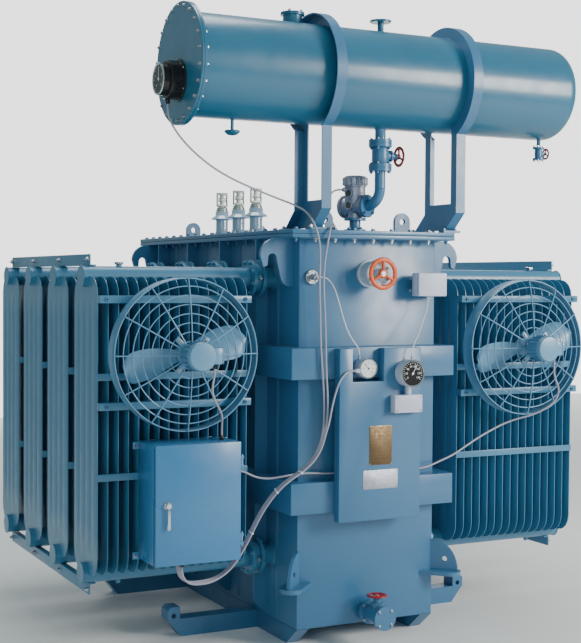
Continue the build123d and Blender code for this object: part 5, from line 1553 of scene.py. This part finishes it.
@dataclass
class Dial:
    """A round instrument face with ticks, a pointer and a chromed bezel under flat glass.

    Attributes:
        shop: The piece that it is part of.
        centre: The middle of its case's front.
        axis: Where it faces.
        radius: The case's outer radius.
        face: The face's finish.
        ink: The finish of ticks, numbers and pointer.
        sweep: First and last tick, in degrees from its local X axis.
        ticks: How many ticks there are; every third one is long and has a number.
        pointer: The pointer's share of the sweep.
        step: What three ticks add.
        size_share: The numbers' height as a share of the face's radius.
    """

    shop: Shop
    centre: Vector
    axis: tuple
    radius: float
    face: Paints
    ink: Paints
    sweep: tuple[float, float] = (225.0, -45.0)
    ticks: int = 13
    pointer: float = 0.35
    step: int = 20
    size_share: float = 0.17

    @property
    def seen(self) -> float:
        """The radius of the face inside the bezel."""
        return self.radius * 0.86

    def place(self, lift: float, out: Vector | tuple = (0, 0, 0)) -> Matrix:
        """Returns a place over the case's front plane, its Y axis up, and off the middle by out."""
        front = at(self.centre, self.axis, Vector(UP).cross(Vector(self.axis)))
        return front @ Matrix.Translation(Vector(out) + Vector((0, 0, lift)))

    def mark(self, turn: float, inner: float, outer: float, width: float, lift: float) -> None:
        """Lays one thin bar along a radius of the face.

        Args:
            turn: The bar's turn in degrees.
            inner: Where it starts, as a share of the face's radius, as are the next two.
            outer: Where it ends.
            width: Its width.
            lift: Its place over the case's front plane.
        """
        corners = ((inner, -width / 2), (outer, -width / 2), (outer, width / 2), (inner, width / 2))
        turned = self.place(lift) @ Matrix.Rotation(math.radians(turn), 4, "Z")
        self.shop.prism([(x * self.seen, y * self.seen) for x, y in corners], 0.0005, turned, self.ink, 0.0)

    def build(self) -> None:
        """Makes bezel, face, ticks, pointer and hub behind the case's front plane."""
        seen, rim = self.seen, self.radius
        bezel = [(seen, -0.006), (rim - 0.001, -0.006), (rim, -0.003), (rim - 0.002, 0)]
        bezel += [(seen + 0.002, 0), (seen, -0.002), (seen, -0.006)]
        self.shop.lathe(bezel, self.place(0), Paints.CHROME, 48)
        self.shop.disc(seen + 0.0005, 0.002, self.place(-0.006), self.face, 48, 0.0004)
        start, end = self.sweep
        for tick in range(self.ticks):
            turn = start + (end - start) * tick / (self.ticks - 1)
            numbered = tick % 3 == 0
            self.mark(turn, 0.76 if numbered else 0.83, 0.92, 0.03, -0.0041)
            if numbered:
                place = self.place(-0.0038, spin(turn, flat=True) * seen * 0.60)
                self.shop.numeral(str(self.step * tick // 3), seen * self.size_share, place, self.ink)
        self.mark(start + (end - start) * self.pointer, -0.18, 0.78, 0.05, -0.0035)
        self.shop.disc(seen * 0.10, 0.0025, self.place(-0.0038), self.ink, 20, 0.0004)


@dataclass
class Instruments:
    """The level gauge, both thermometers, the junction box and the thermowell."""

    def level_gauge(self) -> None:
        """Makes the magnetic level gauge on the drum's cover."""
        shop = Shop("level_gauge_piece")
        base = Vector((COVER_X, FRONT_Y, 2.434))
        body = mm(0, 0, 88, 0, 88, 6, 86, 8, 80, 9, 80, 56, 77, 60, 67, 60, 67, 86, 0, 86)
        shop.lathe(body, at(base, LEFT), Paints.BLACK, 56)
        face = base - Vector((0.092, 0, 0))
        Dial(shop, face, LEFT, 0.067, Paints.BLACK, Paints.DIAL, pointer=0.5, step=1, size_share=0.22).build()
        gland(shop, spot(-962, 0, 2360), DOWN, 0.026)
        shop.done(("level_gauge",))
        bolts = bolt_circle(base - Vector((0.008, 0, 0)), LEFT, 0.084, 6, 30)
        BoltSet("gauge_bolts", bolts, 8, 4, 5, 1, 0).build()

    def oil_dial(self) -> None:
        """Makes the white thermometer on the panel's notch."""
        shop = Shop("oil_dial_piece")
        centre = Vector((-0.070, BAND_FACE_Y, 1.231))
        case = mm(0, 0, 40, 0, 43, 3, 43, 44, 45, 46, 45, 56, 0, 56)
        shop.lathe(case, at(centre, FRONT), Paints.WHITE, 56)
        Dial(shop, centre - Vector((0, 0.062, 0)), FRONT, 0.045, Paints.DIAL, Paints.BLACK, ticks=19).build()
        gland(shop, spot(-112, -121, 1222), LEFT, 0.023, Paints.WHITE)
        shop.disc(0.0055, 0.018, at(spot(-100, -98, 1270)), Paints.ZINC, 6, 0.0006)
        shop.done(("oil_thermometer",))

    def winding_dial(self) -> None:
        """Makes the large thermometer with its white terminal box."""
        shop = Shop("winding_dial_piece")
        face = FRONT_Y - 0.1156
        centre = Vector((0.128, face, 1.207))
        case = mm(0, 0, 56, 0, 59, 3, 59, 44, 62, 46, 62, 56, 0, 56)
        shop.lathe(case, at(centre, FRONT), Paints.WHITE, 64)
        look = (Paints.BLACK, Paints.DIAL, (215.0, -35.0), 22, 0.62)
        Dial(shop, centre - Vector((0, 0.062, 0)), FRONT, 0.062, *look, size_share=0.24).build()
        shop.disc(0.013, 0.050, at((0.128, face - 0.022, 1.104)), Paints.WHITE, 28)
        shop.box((0.047, face - 0.036, 1.033), (0.189, face, 1.111), Paints.WHITE, 0.005)
        shop.box((0.047, face - 0.044, 1.033), (0.189, face - 0.0365, 1.111), Paints.WHITE, 0.004)
        shop.disc(0.0055, 0.020, at(spot(140, -146.4, 1261)), Paints.ZINC, 6, 0.0006)
        shop.done(("winding_thermometer",))
        screws = four_seats(Vector((0.118, face - 0.044, 1.072)), 0.122, 0.058)
        BoltSet("winding_screws", screws, 6, 1.5, 4.5, 0.8, 0).build()

    def junction_box(self) -> None:
        """Makes the white box on its two studs."""
        shop = Shop("junction_box_piece")
        back, front = FRONT_Y - 0.035, FRONT_Y - 0.095
        shop.box((0.205, back - 0.042, 1.5455), (0.355, back, 1.6505), Paints.WHITE, 0.005)
        shop.box((0.205, front, 1.5455), (0.355, back - 0.0425, 1.6505), Paints.WHITE, 0.005)
        for z in (1.5705, 1.6255):
            low, high = (0.188, back + 0.0004, z - 0.008), (0.238, back + 0.0030, z + 0.008)
            shop.disc(0.006, 0.036, at((0.230, FRONT_Y, z), FRONT), Paints.ZINC, 16, 0.0005)
            shop.box(low, high, Paints.TANK, 0.0008)
            shop.disc(0.0055, 0.005, at((0.196, back + 0.0004, z), FRONT), Paints.ZINC, 6, 0.0005)
        gland(shop, spot(272, -65, 1549), DOWN, 0.016, Paints.WHITE)
        shop.done(("junction_box",))
        screws = four_seats(Vector((0.280, front, 1.598)), 0.128, 0.083)
        BoltSet("junction_screws", screws, 7, 1.5, 5, 0.8, 0).build()

    def thermowell(self) -> None:
        """Makes the well's flange, stem and side boss."""
        shop = Shop("thermowell_piece")
        well = mm(0, 0, 32, 0, 32, 12, 30, 14, 14, 14, 12, 17, 12, 50, 10, 52, 0, 52)
        shop.lathe(well, at(spot(-291, 0, 1628), FRONT), Paints.ZINC, 36)
        shop.disc(0.0055, 0.022, at(spot(-287, -40, 1628), RIGHT), Paints.ZINC, 6, 0.0006)
        shop.done(("thermowell",))
        bolts = bolt_circle(spot(-291, -14, 1628), FRONT, 0.024, 4, 45)
        BoltSet("well_bolts", bolts, 9, 4, 5.5, 1, 1).build()

    def build(self) -> None:
        """Makes every instrument."""
        for make in (self.level_gauge, self.oil_dial, self.winding_dial, self.junction_box, self.thermowell):
            make()


@dataclass
class Panel:
    """The notched steel panel with its rating plate and the bare plate below it."""

    def build(self) -> None:
        """Makes the panel, the two plates and their rivets."""
        thick = 0.0477
        face = BAND_FACE_Y - thick
        outline = mm(-207, 560, 207, 560, 207, 1318, 15, 1318, 15, 1173, -140, 1173, -140, 1318, -207, 1318)
        shop = Shop("panel_piece")
        shop.prism(outline, thick, at((0, BAND_FACE_Y, 0), FRONT), Paints.TANK, 0.004)
        plate, bare = at((0.001, face, 0.8905), FRONT), at((0.0015, face, 0.740), FRONT)
        shop.prism(rounded(0.116, 0.173, 0.003, 2), 0.0012, plate, Paints.RATING, 0.0003)
        shop.prism(rounded(0.110, 0.167, 0.002, 2), 0.0015, plate, Paints.RATING_FIELD, 0.0002)
        for line in range(9):
            row = at((0.001, face - 0.0014, 0.824 + line * 0.0155), FRONT)
            shop.prism(rounded(0.100, 0.0008, 0.0003, 1), 0.0004, row, Paints.RATING, 0.0)
        shop.prism(rounded(0.177, 0.084, 0.003, 2), 0.0012, bare, Paints.CASTING, 0.0003)
        shop.done(("instrument_panel",))
        rivets = four_seats(Vector((0.001, face - 0.0014, 0.8905)), 0.106, 0.163)
        rivets += four_seats(Vector((0.0015, face - 0.0014, 0.740)), 0.167, 0.074)
        BoltSet("plate_rivets", rivets, 3.5, 0.8, 2.6, 0.6, 0).build()


# Control cabinet
@dataclass
class Cabinet:
    """The control box: body, door with hinges and lever, brackets and glands.

    Attributes:
        left: Its left side.
        right: Its right side, where the hinges are.
        low: Its base.
        high: Its top.
        wall: The thickness of its walls.
        hinges: The lowest and the highest place of each hinge.
        straps: The levels of its two brackets.
    """

    left: float = -1.050
    right: float = -0.670
    low: float = 0.444
    high: float = 0.940
    wall: float = 0.008
    hinges: tuple = ((0.504, 0.554), (0.830, 0.880))
    straps: tuple = (0.456, 0.919)

    def outline(self, inset: float, radius: float, steps: int) -> Points:
        """Returns the box's rounded outline, drawn in on every side by the inset."""
        return rounded(self.right - self.left - 2 * inset, self.high - self.low - 2 * inset, radius, steps)

    def middle(self, y: float) -> Matrix:
        """Returns the place in the middle of its face, at a depth."""
        return at(((self.left + self.right) / 2, y, (self.low + self.high) / 2), FRONT)

    def body(self) -> None:
        """Makes the box with its hinge halves, brackets and glands."""
        shop = Shop("cabinet_piece")
        front, back = FRONT_Y - 0.083, FRONT_Y + 0.0926
        inner = self.outline(self.wall, 0.002, 2)
        shop.prism(self.outline(0, 0.005, 3), back - front, self.middle(back), Paints.CABINET, 0.001, (inner,))
        shop.prism(inner, self.wall, self.middle(back), Paints.CABINET, 0.0)
        boxes = []
        for low, high in self.hinges:
            middle = (low + high) / 2
            pin = at((self.right + 0.009, FRONT_Y - 0.099, low - 0.006))
            shop.disc(0.0035, high - low + 0.012, pin, Paints.ZINC, 16, 0.0006)
            boxes.append((self.right - 0.001, front, low, self.right + 0.011, front + 0.022, high))
            leaf_low = (self.right, FRONT_Y - 0.102, middle - 0.010)
            boxes.append((*leaf_low, self.right + 0.012, front + 0.002, middle + 0.010))
        for z in self.straps:
            boxes.append((self.left - 0.025, back, z - 0.015, self.right + 0.025, back + 0.006, z + 0.015))
        for corners in boxes:
            shop.box(corners[:3], corners[3:], Paints.CABINET, 0.001)
        for strand in range(3):
            gland(shop, Vector((-0.912, FRONT_Y - 0.026 * strand, self.low)), DOWN, 0.020)
        gland(shop, Vector((self.right, FRONT_Y, 0.800)), RIGHT, 0.020)
        gland(shop, Vector((-0.725, FRONT_Y - 0.030, self.high)), UP, 0.020)
        shop.done(("control_cabinet",))
        ends = (self.left - 0.014, self.right + 0.014)
        bolts = [(Vector((x, back, z)), Vector(FRONT)) for x in ends for z in self.straps]
        BoltSet("cabinet_bolts", bolts, 11, 5, 7.5, 1.5, 0).build()

    def door(self) -> None:
        """Makes the door, a folded tray with its gasket, and the hinge knuckles."""
        shop = Shop("door_piece", "door")
        front, back = FRONT_Y - 0.110, FRONT_Y - 0.088
        shop.box((self.left, front, self.low), (self.right, back, self.high), Paints.CABINET, 0.004)
        ring, hollow = self.outline(0.004, 0.006, 3), self.outline(0.018, 0.004, 3)
        shop.prism(ring, 0.004, self.middle(back + 0.0035), Paints.GASKET, 0.0, (hollow,))
        plate = mm(0, 0, 17, 0, 16.5, 3, 13.5, 5.7, 0, 5.7)
        shop.lathe(plate, at((-0.999, front, 0.694), FRONT), Paints.CHROME)
        x, tall = self.right + 0.009, 0.014
        for start in [z for low, high in self.hinges for z in (low, high - tall)]:
            shop.disc(0.008, tall, at((x, FRONT_Y - 0.099, start)), Paints.CABINET, 24, 0.0008)
            low, high = (x - 0.015, FRONT_Y - 0.107, start), (x, FRONT_Y - 0.101, start + tall)
            shop.box(low, high, Paints.CABINET, 0.0008)
        shop.done(("cabinet_door",))

    def lever(self) -> None:
        """Makes the chromed turning lever with its rounded tip."""
        shop = Shop("lever_piece", "lever")
        seat = Vector((-0.999, FRONT_Y - 0.1103, 0.694))
        shop.disc(0.012, 0.0198, at(seat, FRONT), Paints.CHROME, 36)
        bends = [spin(-15 * step) * 0.008 for step in range(13)]
        outline = mm(-6.5, 34, 6.5, 34, 5.5, 12, 6, -30)
        outline += [(bend.x, bend.z - 0.054) for bend in bends]
        outline += mm(-6, -30, -5.5, 12)
        arm = at(seat + Vector((0, -0.0105, -0.038)), FRONT)
        shop.prism(outline, 0.0085, arm, Paints.CHROME, 0.002)
        shop.done(("door_lever",))

    def build(self) -> None:
        """Makes the whole cabinet."""
        self.body()
        self.door()
        self.lever()


@dataclass
class Bushings:
    """Three low-voltage bushings with clamps, sheds, caps and drilled flags.

    Attributes:
        x: Their distance from the tank's middle.
        pitch: The distance between two of them.
    """

    x: float = -0.230
    pitch: float = 0.204

    def build(self) -> None:
        """Turns the porcelain and sets clamps, caps and flags."""
        clamp = mm(0, 0, 57, 0, 57, 6, 50, 10, 42, 16, 0, 16)
        body = mm(0, 15.5, 36, 15.5, 33, 24, 31, 30, 31, 82, 36, 84, 56, 87, 58, 90, 55, 94, 38, 104, 34, 110)
        body += mm(34, 124, 32, 128, 0, 128)
        cap = mm(0, 128.2, 30, 128.2, 30, 136, 27, 138, 27, 146, 18, 152, 0, 152)
        holes = tuple(circle(0.007, 20, (x, z)) for x in (-0.017, 0.017) for z in (-0.017, 0.017))
        shop, flags = Shop("bushing_piece"), Shop("terminal_piece")
        bolts = []
        for number in range(3):
            y = FRONT_Y + 0.398 * TANK_LENGTH + number * self.pitch
            place = at((self.x, y, LID_TOP_Z))
            shop.lathe(clamp, place, Paints.CASTING)
            shop.lathe(body, place, Paints.PORCELAIN, 48)
            flags.lathe(cap, place, Paints.COPPER, 36)
            flag = at((self.x, y + 0.005, LID_TOP_Z + 0.188), FRONT)
            flags.prism(rounded(0.060, 0.072, 0.003, 2), 0.010, flag, Paints.COPPER, 0.0006, holes)
            bolts += bolt_circle(Vector((self.x, y, LID_TOP_Z + 0.009)), UP, 0.047, 4, 45)
        shop.done(("lv_bushings",), "porcelain", 40)
        flags.done(("lv_terminals",))
        BoltSet("bushing_bolts", bolts, 12, 6, 7.5, 1.5, 6).build()


@dataclass
class CarrierBolts:
    """The bolts of the two portals' feet; the right ones are painted over."""

    def build(self) -> None:
        """Sets four bolts on the two feet of either portal."""
        portals = (("right", 0.399, Paints.TANK), ("left", -0.286, Paints.ZINC))
        for side_name, x, paint in portals:
            seats = [(x + across, FRONT_Y + y) for y in (-0.042, 0.218) for across in (-0.030, 0.030)]
            bolts = [(Vector((*seat, LID_TOP_Z + 0.010)), Vector(UP)) for seat in seats]
            BoltSet(f"{side_name}_portal_bolts", bolts, 17, 8, 11, 2, 3, paint).build()


# Cords
# Every route is in millimetres, with y counted from the front wall's plane
TRUNK = (
    (-276, -94, 960), (-296, -93, 890), (-335, -90, 834), (-388, -86, 792), (-444, -80, 760),
    (-490, -64, 716), (-524, -40, 662), (-553, -17, 600), (-580, -2, 535), (-612, 4, 472), (-652, 4, 414),
    (-694, 3, 374), (-742, 1, 350),
)
TAIL = ((-800, 0, 343), (-864, 0, 345), (-894, 0, 362), (-912, 0, 392), (-912, 0, 424))
TRUNK_PITCH = 14
GLAND_PITCH = 26
GAUGE_ROUTE = (
    (-962, 0, 2334), (-962, 0, 2296), (-944, -3, 2250), (-903, -5, 2195), (-838, -4, 2136), (-754, 0, 2080),
    (-662, -2, 2035), (-566, -1, 2001), (-474, 0, 1970), (-396, -8, 1945), (-345, -32, 1920),
    (-328, -62, 1888), (-317, -84, 1850), (-303, -88, 1808), (-291, -82, 1762), (-287, -78, 1690),
    (-291, -78, 1590), (-286, -79, 1480), (-285, -80, 1370), (-279, -84, 1260), (-272, -89, 1150),
    (-269, -93, 1045),
)
RELAY_ROUTE = (
    (-65, 131, 2024), (-97, 131, 2024), (-126, 128, 2006), (-144, 120, 1974), (-150, 108, 1936),
    (-148, 92, 1900), (-146, 70, 1868), (-150, 42, 1850), (-166, 10, 1847), (-190, -20, 1849),
    (-213, -47, 1852), (-234, -71, 1845), (-248, -88, 1820), (-257, -93, 1786), (-264, -89, 1737),
    (-268, -83, 1688), (-271, -79, 1620), (-268, -79, 1540), (-261, -80, 1430), (-259, -83, 1320),
    (-260, -91, 1210), (-258, -102, 1110), (-261, -107, 1025),
)
OIL_DIAL_ROUTE = (
    (-135, -121, 1222), (-163, -121, 1222), (-190, -124, 1207), (-210, -123, 1180), (-224, -121, 1146),
    (-238, -120, 1100), (-250, -121, 1055), (-260, -122, 1005),
)
RIGHT_FAN_ROUTE = (
    (-650, 0, 800), (-622, 0, 800), (-590, -1, 786), (-548, -4, 766), (-494, -9, 758), (-440, -16, 764),
    (-384, -24, 772), (-324, -32, 776), (-250, -35, 770), (-170, -34, 765), (-85, -36, 769), (5, -34, 764),
    (95, -35, 768), (180, -35, 761), (250, -34, 760), (312, -28, 768), (378, -14, 786), (455, -1, 806),
    (535, 10, 842), (612, 21, 877), (690, 32, 906), (762, 34, 934), (830, 16, 958), (886, -14, 974),
    (934, -38, 996), (976, -54, 1022), (1004, -68, 1054), (1008, -80, 1090), (992, -92, 1124),
    (968, -103, 1153), (953, -111, 1183), (950, -115, 1215), (950, -115, 1246),
)
LEFT_FAN_ROUTE = (
    (-796, -115, 1246), (-796, -115, 1214), (-806, -116, 1178), (-802, -112, 1138), (-780, -100, 1100),
    (-752, -82, 1066), (-734, -56, 1034), (-725, -30, 1000), (-725, -30, 960),
)
THERMOWELL_ROUTE = (
    (-265, -40, 1628), (-245, -40, 1628), (-227, -46, 1617), (-216, -60, 1596), (-209, -77, 1566),
    (-203, -91, 1528), (-194, -99, 1486), (-181, -102, 1440), (-164, -103, 1396), (-142, -104, 1360),
    (-119, -101, 1334), (-100, -98, 1312), (-100, -98, 1288),
)
JUNCTION_ROUTE = (
    (272, -65, 1533), (272, -65, 1510), (260, -71, 1480), (240, -82, 1444), (217, -94, 1406),
    (193, -109, 1370), (168, -125, 1345), (150, -140, 1328), (140, -146, 1304), (140, -146, 1281),
)


def bundled(route: tuple, strand: int) -> tuple:
    """Joins a cable's own route to the bundle that leads into the cabinet.

    Args:
        route: The cable's own points.
        strand: Its place in the bundle, from 0.

    Returns:
        The whole route.
    """
    trunk = tuple((x, y - strand * TRUNK_PITCH, z) for x, y, z in TRUNK)
    return route + trunk + tuple((x, y - strand * GLAND_PITCH, z) for x, y, z in TAIL)


@dataclass
class Cable:
    """One cable or capillary that lies free between its two glands.

    Attributes:
        node: The CAD node that it stands for.
        route: Its points.
        length: Its real length in metres; not used.
        radius: Its radius.
        paint: Its finish.
    """

    node: str
    route: tuple
    length: float
    radius: float = 0.0045
    paint: Paints = Paints.SHEATH

    def build(self) -> None:
        curve = bpy.data.curves.new(f"{self.node}_line", "CURVE")
        curve.dimensions = "3D"
        curve.bevel_depth = self.radius
        curve.bevel_resolution = 4
        curve.resolution_u = 6
        curve.use_fill_caps = True
        spline = curve.splines.new("NURBS")
        spline.points.add(len(self.route) - 1)
        for point, place in zip(spline.points, self.route):
            point.co = (*spot(*place), 1.0)
        spline.order_u = 3
        spline.use_endpoint_u = True
        curve.materials.append(self.paint.finish.material())
        piece = link(f"{self.node}_piece", curve)
        mount(piece, ROOT, (self.node,))


@dataclass
class Cables:
    """All seven cables and the white ties that hold the bundle."""

    def ties(self) -> None:
        """Sets three nylon ties round the bundle."""
        outer, inner = rounded(0.042, 0.0135, 0.0067, 5), rounded(0.039, 0.0105, 0.0052, 5)
        shop = Shop("cable_ties")
        for here in (3, 5, 8):
            along = (Vector(TRUNK[here + 1]) - Vector(TRUNK[here - 1])).normalized()
            centre = spot(*TRUNK[here]) - Vector((0, TRUNK_PITCH * MM, 0))
            shop.prism(outer, 0.007, at(centre - along * 0.0035, along, REAR), Paints.TIE, 0.0, (inner,))
        shop.done()

    def build(self) -> None:
        """Lays every cable."""
        Cable("cable_level_gauge", bundled(GAUGE_ROUTE, 0), 2.797).build()
        Cable("cable_gas_relay", bundled(RELAY_ROUTE, 1), 2.317).build()
        Cable("cable_oil_dial", bundled(OIL_DIAL_ROUTE, 2), 1.349).build()
        Cable("cable_right_fan", RIGHT_FAN_ROUTE, 1.964).build()
        Cable("cable_left_fan", LEFT_FAN_ROUTE, 0.328).build()
        Cable("capillary_oil_dial", THERMOWELL_ROUTE, 0.412, 0.0025, Paints.CAPILLARY).build()
        Cable("capillary_winding_dial", JUNCTION_ROUTE, 0.306, 0.0025, Paints.CAPILLARY).build()
        self.ties()


# Studio
def stage_material(name: str, kind: str, **sockets) -> bpy.types.Material:
    """Makes a plain material of one shader for the studio.

    Args:
        name: Its name.
        kind: The shader's node type.
        sockets: The shader's inputs.

    Returns:
        The material.
    """
    made = bpy.data.materials.new(name)
    made.use_nodes = True
    made.node_tree.nodes.clear()
    add_node(made.node_tree, "ShaderNodeOutputMaterial", Surface=add_node(made.node_tree, kind, **sockets))
    return made


def stage_sheet(name: str, corners: list[tuple], material: bpy.types.Material) -> None:
    """Makes a flat sheet that belongs to the studio and not to the transformer.

    Args:
        name: Its name.
        corners: Its four corners in order.
        material: Its material.
    """
    mesh = bpy.data.meshes.new(name)
    mesh.from_pydata(corners, [], [(0, 1, 2, 3)])
    mesh.materials.append(material)
    link(name, mesh)


@dataclass
class Studio:
    """Floor, soft lights and the camera at the photograph's place.

    Attributes:
        eye: The camera's place.
        yaw: Its turn from +Y towards +X, in degrees.
        pitch: Its tilt above the horizon, in degrees.
        roll: Its turn about its own line of sight, in degrees.
        lens: Its focal length in millimetres for a 36 mm long side.
    """

    eye: tuple[float, float, float] = (-2.92007, FRONT_Y - 5.00553, 1.61704)
    yaw: float = 26.82
    pitch: float = -1.86
    roll: float = 0.39
    lens: float = 72.52

    def camera(self) -> None:
        """Makes the camera and gives it to the scene."""
        yaw, pitch, roll = (math.radians(v) for v in (self.yaw, self.pitch, self.roll))
        ahead = Vector((math.sin(yaw) * math.cos(pitch), math.cos(yaw) * math.cos(pitch), math.sin(pitch)))
        level = Vector((math.cos(yaw), -math.sin(yaw), 0.0))
        above = level.cross(ahead)
        right = math.cos(roll) * level + math.sin(roll) * above
        up = -math.sin(roll) * level + math.cos(roll) * above
        data = bpy.data.cameras.new("camera")
        data.lens = self.lens
        data.sensor_width = 36.0
        data.clip_end = 60.0
        camera = link("camera", data)
        turn = Matrix((right, up, -ahead)).transposed().to_4x4()
        camera.matrix_world = Matrix.Translation(self.eye) @ turn
        bpy.context.scene.camera = camera

    def lamp(self, name: str, place: tuple, target: tuple, size: float, power: float, colour: str) -> None:
        """Adds one soft square light.

        Args:
            name: Its name.
            place: Where it hangs.
            target: The point that it faces.
            size: The length of its side.
            power: Its power in watts.
            colour: Its colour as sRGB hex.
        """
        data = bpy.data.lights.new(name, "AREA")
        data.size = size
        data.energy = power
        data.color = linear(colour)[:3]
        lamp = link(name, data)
        lamp.location = place
        lamp.rotation_mode = "QUATERNION"
        lamp.rotation_quaternion = (Vector(target) - Vector(place)).to_track_quat("-Z", "Y")

    def build(self) -> None:
        """Makes the floor, the lit cloth far behind, the sky, the lamps and the camera."""
        white, off_white = linear("ffffff"), linear("f2f2f0")
        paper = stage_material("floor_paper", "ShaderNodeBsdfPrincipled", Base_Color=off_white, Roughness=0.9)
        stage_sheet("floor", [(-14, -14, 0), (14, -14, 0), (14, 14, 0), (-14, 14, 0)], paper)
        cloth = stage_material("lit_cloth", "ShaderNodeEmission", Color=white, Strength=2.4)
        stage_sheet("backdrop", [(x, 9.0, z) for x, z in ((-0.2, 0), (11, 0), (11, 7), (-0.2, 7))], cloth)
        world = bpy.data.worlds.new("sky")
        world.use_nodes = True
        world.node_tree.nodes.clear()
        sky = add_node(world.node_tree, "ShaderNodeBackground", Color=linear("d6ecec"), Strength=0.5)
        add_node(world.node_tree, "ShaderNodeOutputWorld", Surface=sky)
        bpy.context.scene.world = world
        self.lamp("key", (4.2, -5.6, 3.2), (0.0, -0.4, 1.1), 2.4, 455.0, "fffaf2")
        self.lamp("fill", (-3.6, -6.2, 2.4), (0.0, 0.0, 1.2), 3.2, 52.0, "dcefff")
        self.lamp("top", (-0.4, 0.2, 5.4), (0.0, 0.0, 1.6), 2.2, 110.0, "ffffff")
        self.camera()


# Main
def dress_solids() -> None:
    """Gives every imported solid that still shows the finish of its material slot."""
    by_slot = {paint.finish.slot: paint.finish for paint in reversed(Paints)}
    slots = {row["node"]: row["material_slot"] for row in frame["record"]["subparts"]}
    for node, solid in frame["nodes"].items():
        solid.data.materials.clear()
        solid.data.materials.append(by_slot[slots[node]].material())


def assemblies() -> list:
    """Lists the sub-assemblies.

    Returns:
        Them, in the order in which they are made.
    """
    radiators = [PlateRadiator(side, row) for side in SIDES for row in range(1, 5)]
    fans = [CoolingFan(side) for side in SIDES]
    front = [Instruments(), Panel(), Cabinet(), Bushings(), CarrierBolts(), Cables()]
    banks = [*radiators, RadiatorValves(), BankFittings(), *fans]
    return [Tank(), *banks, Conservator(), OilPipe(), GasRelay(), SmallValves(), *front]


def main() -> None:
    """Builds the studio and every sub-assembly in order."""
    logging.basicConfig(level=logging.INFO, format="%(name)s %(message)s")
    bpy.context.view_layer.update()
    Studio().build()
    dress_solids()
    for assembly in assemblies():
        assembly.build()


if __name__ == "__main__":
    main()
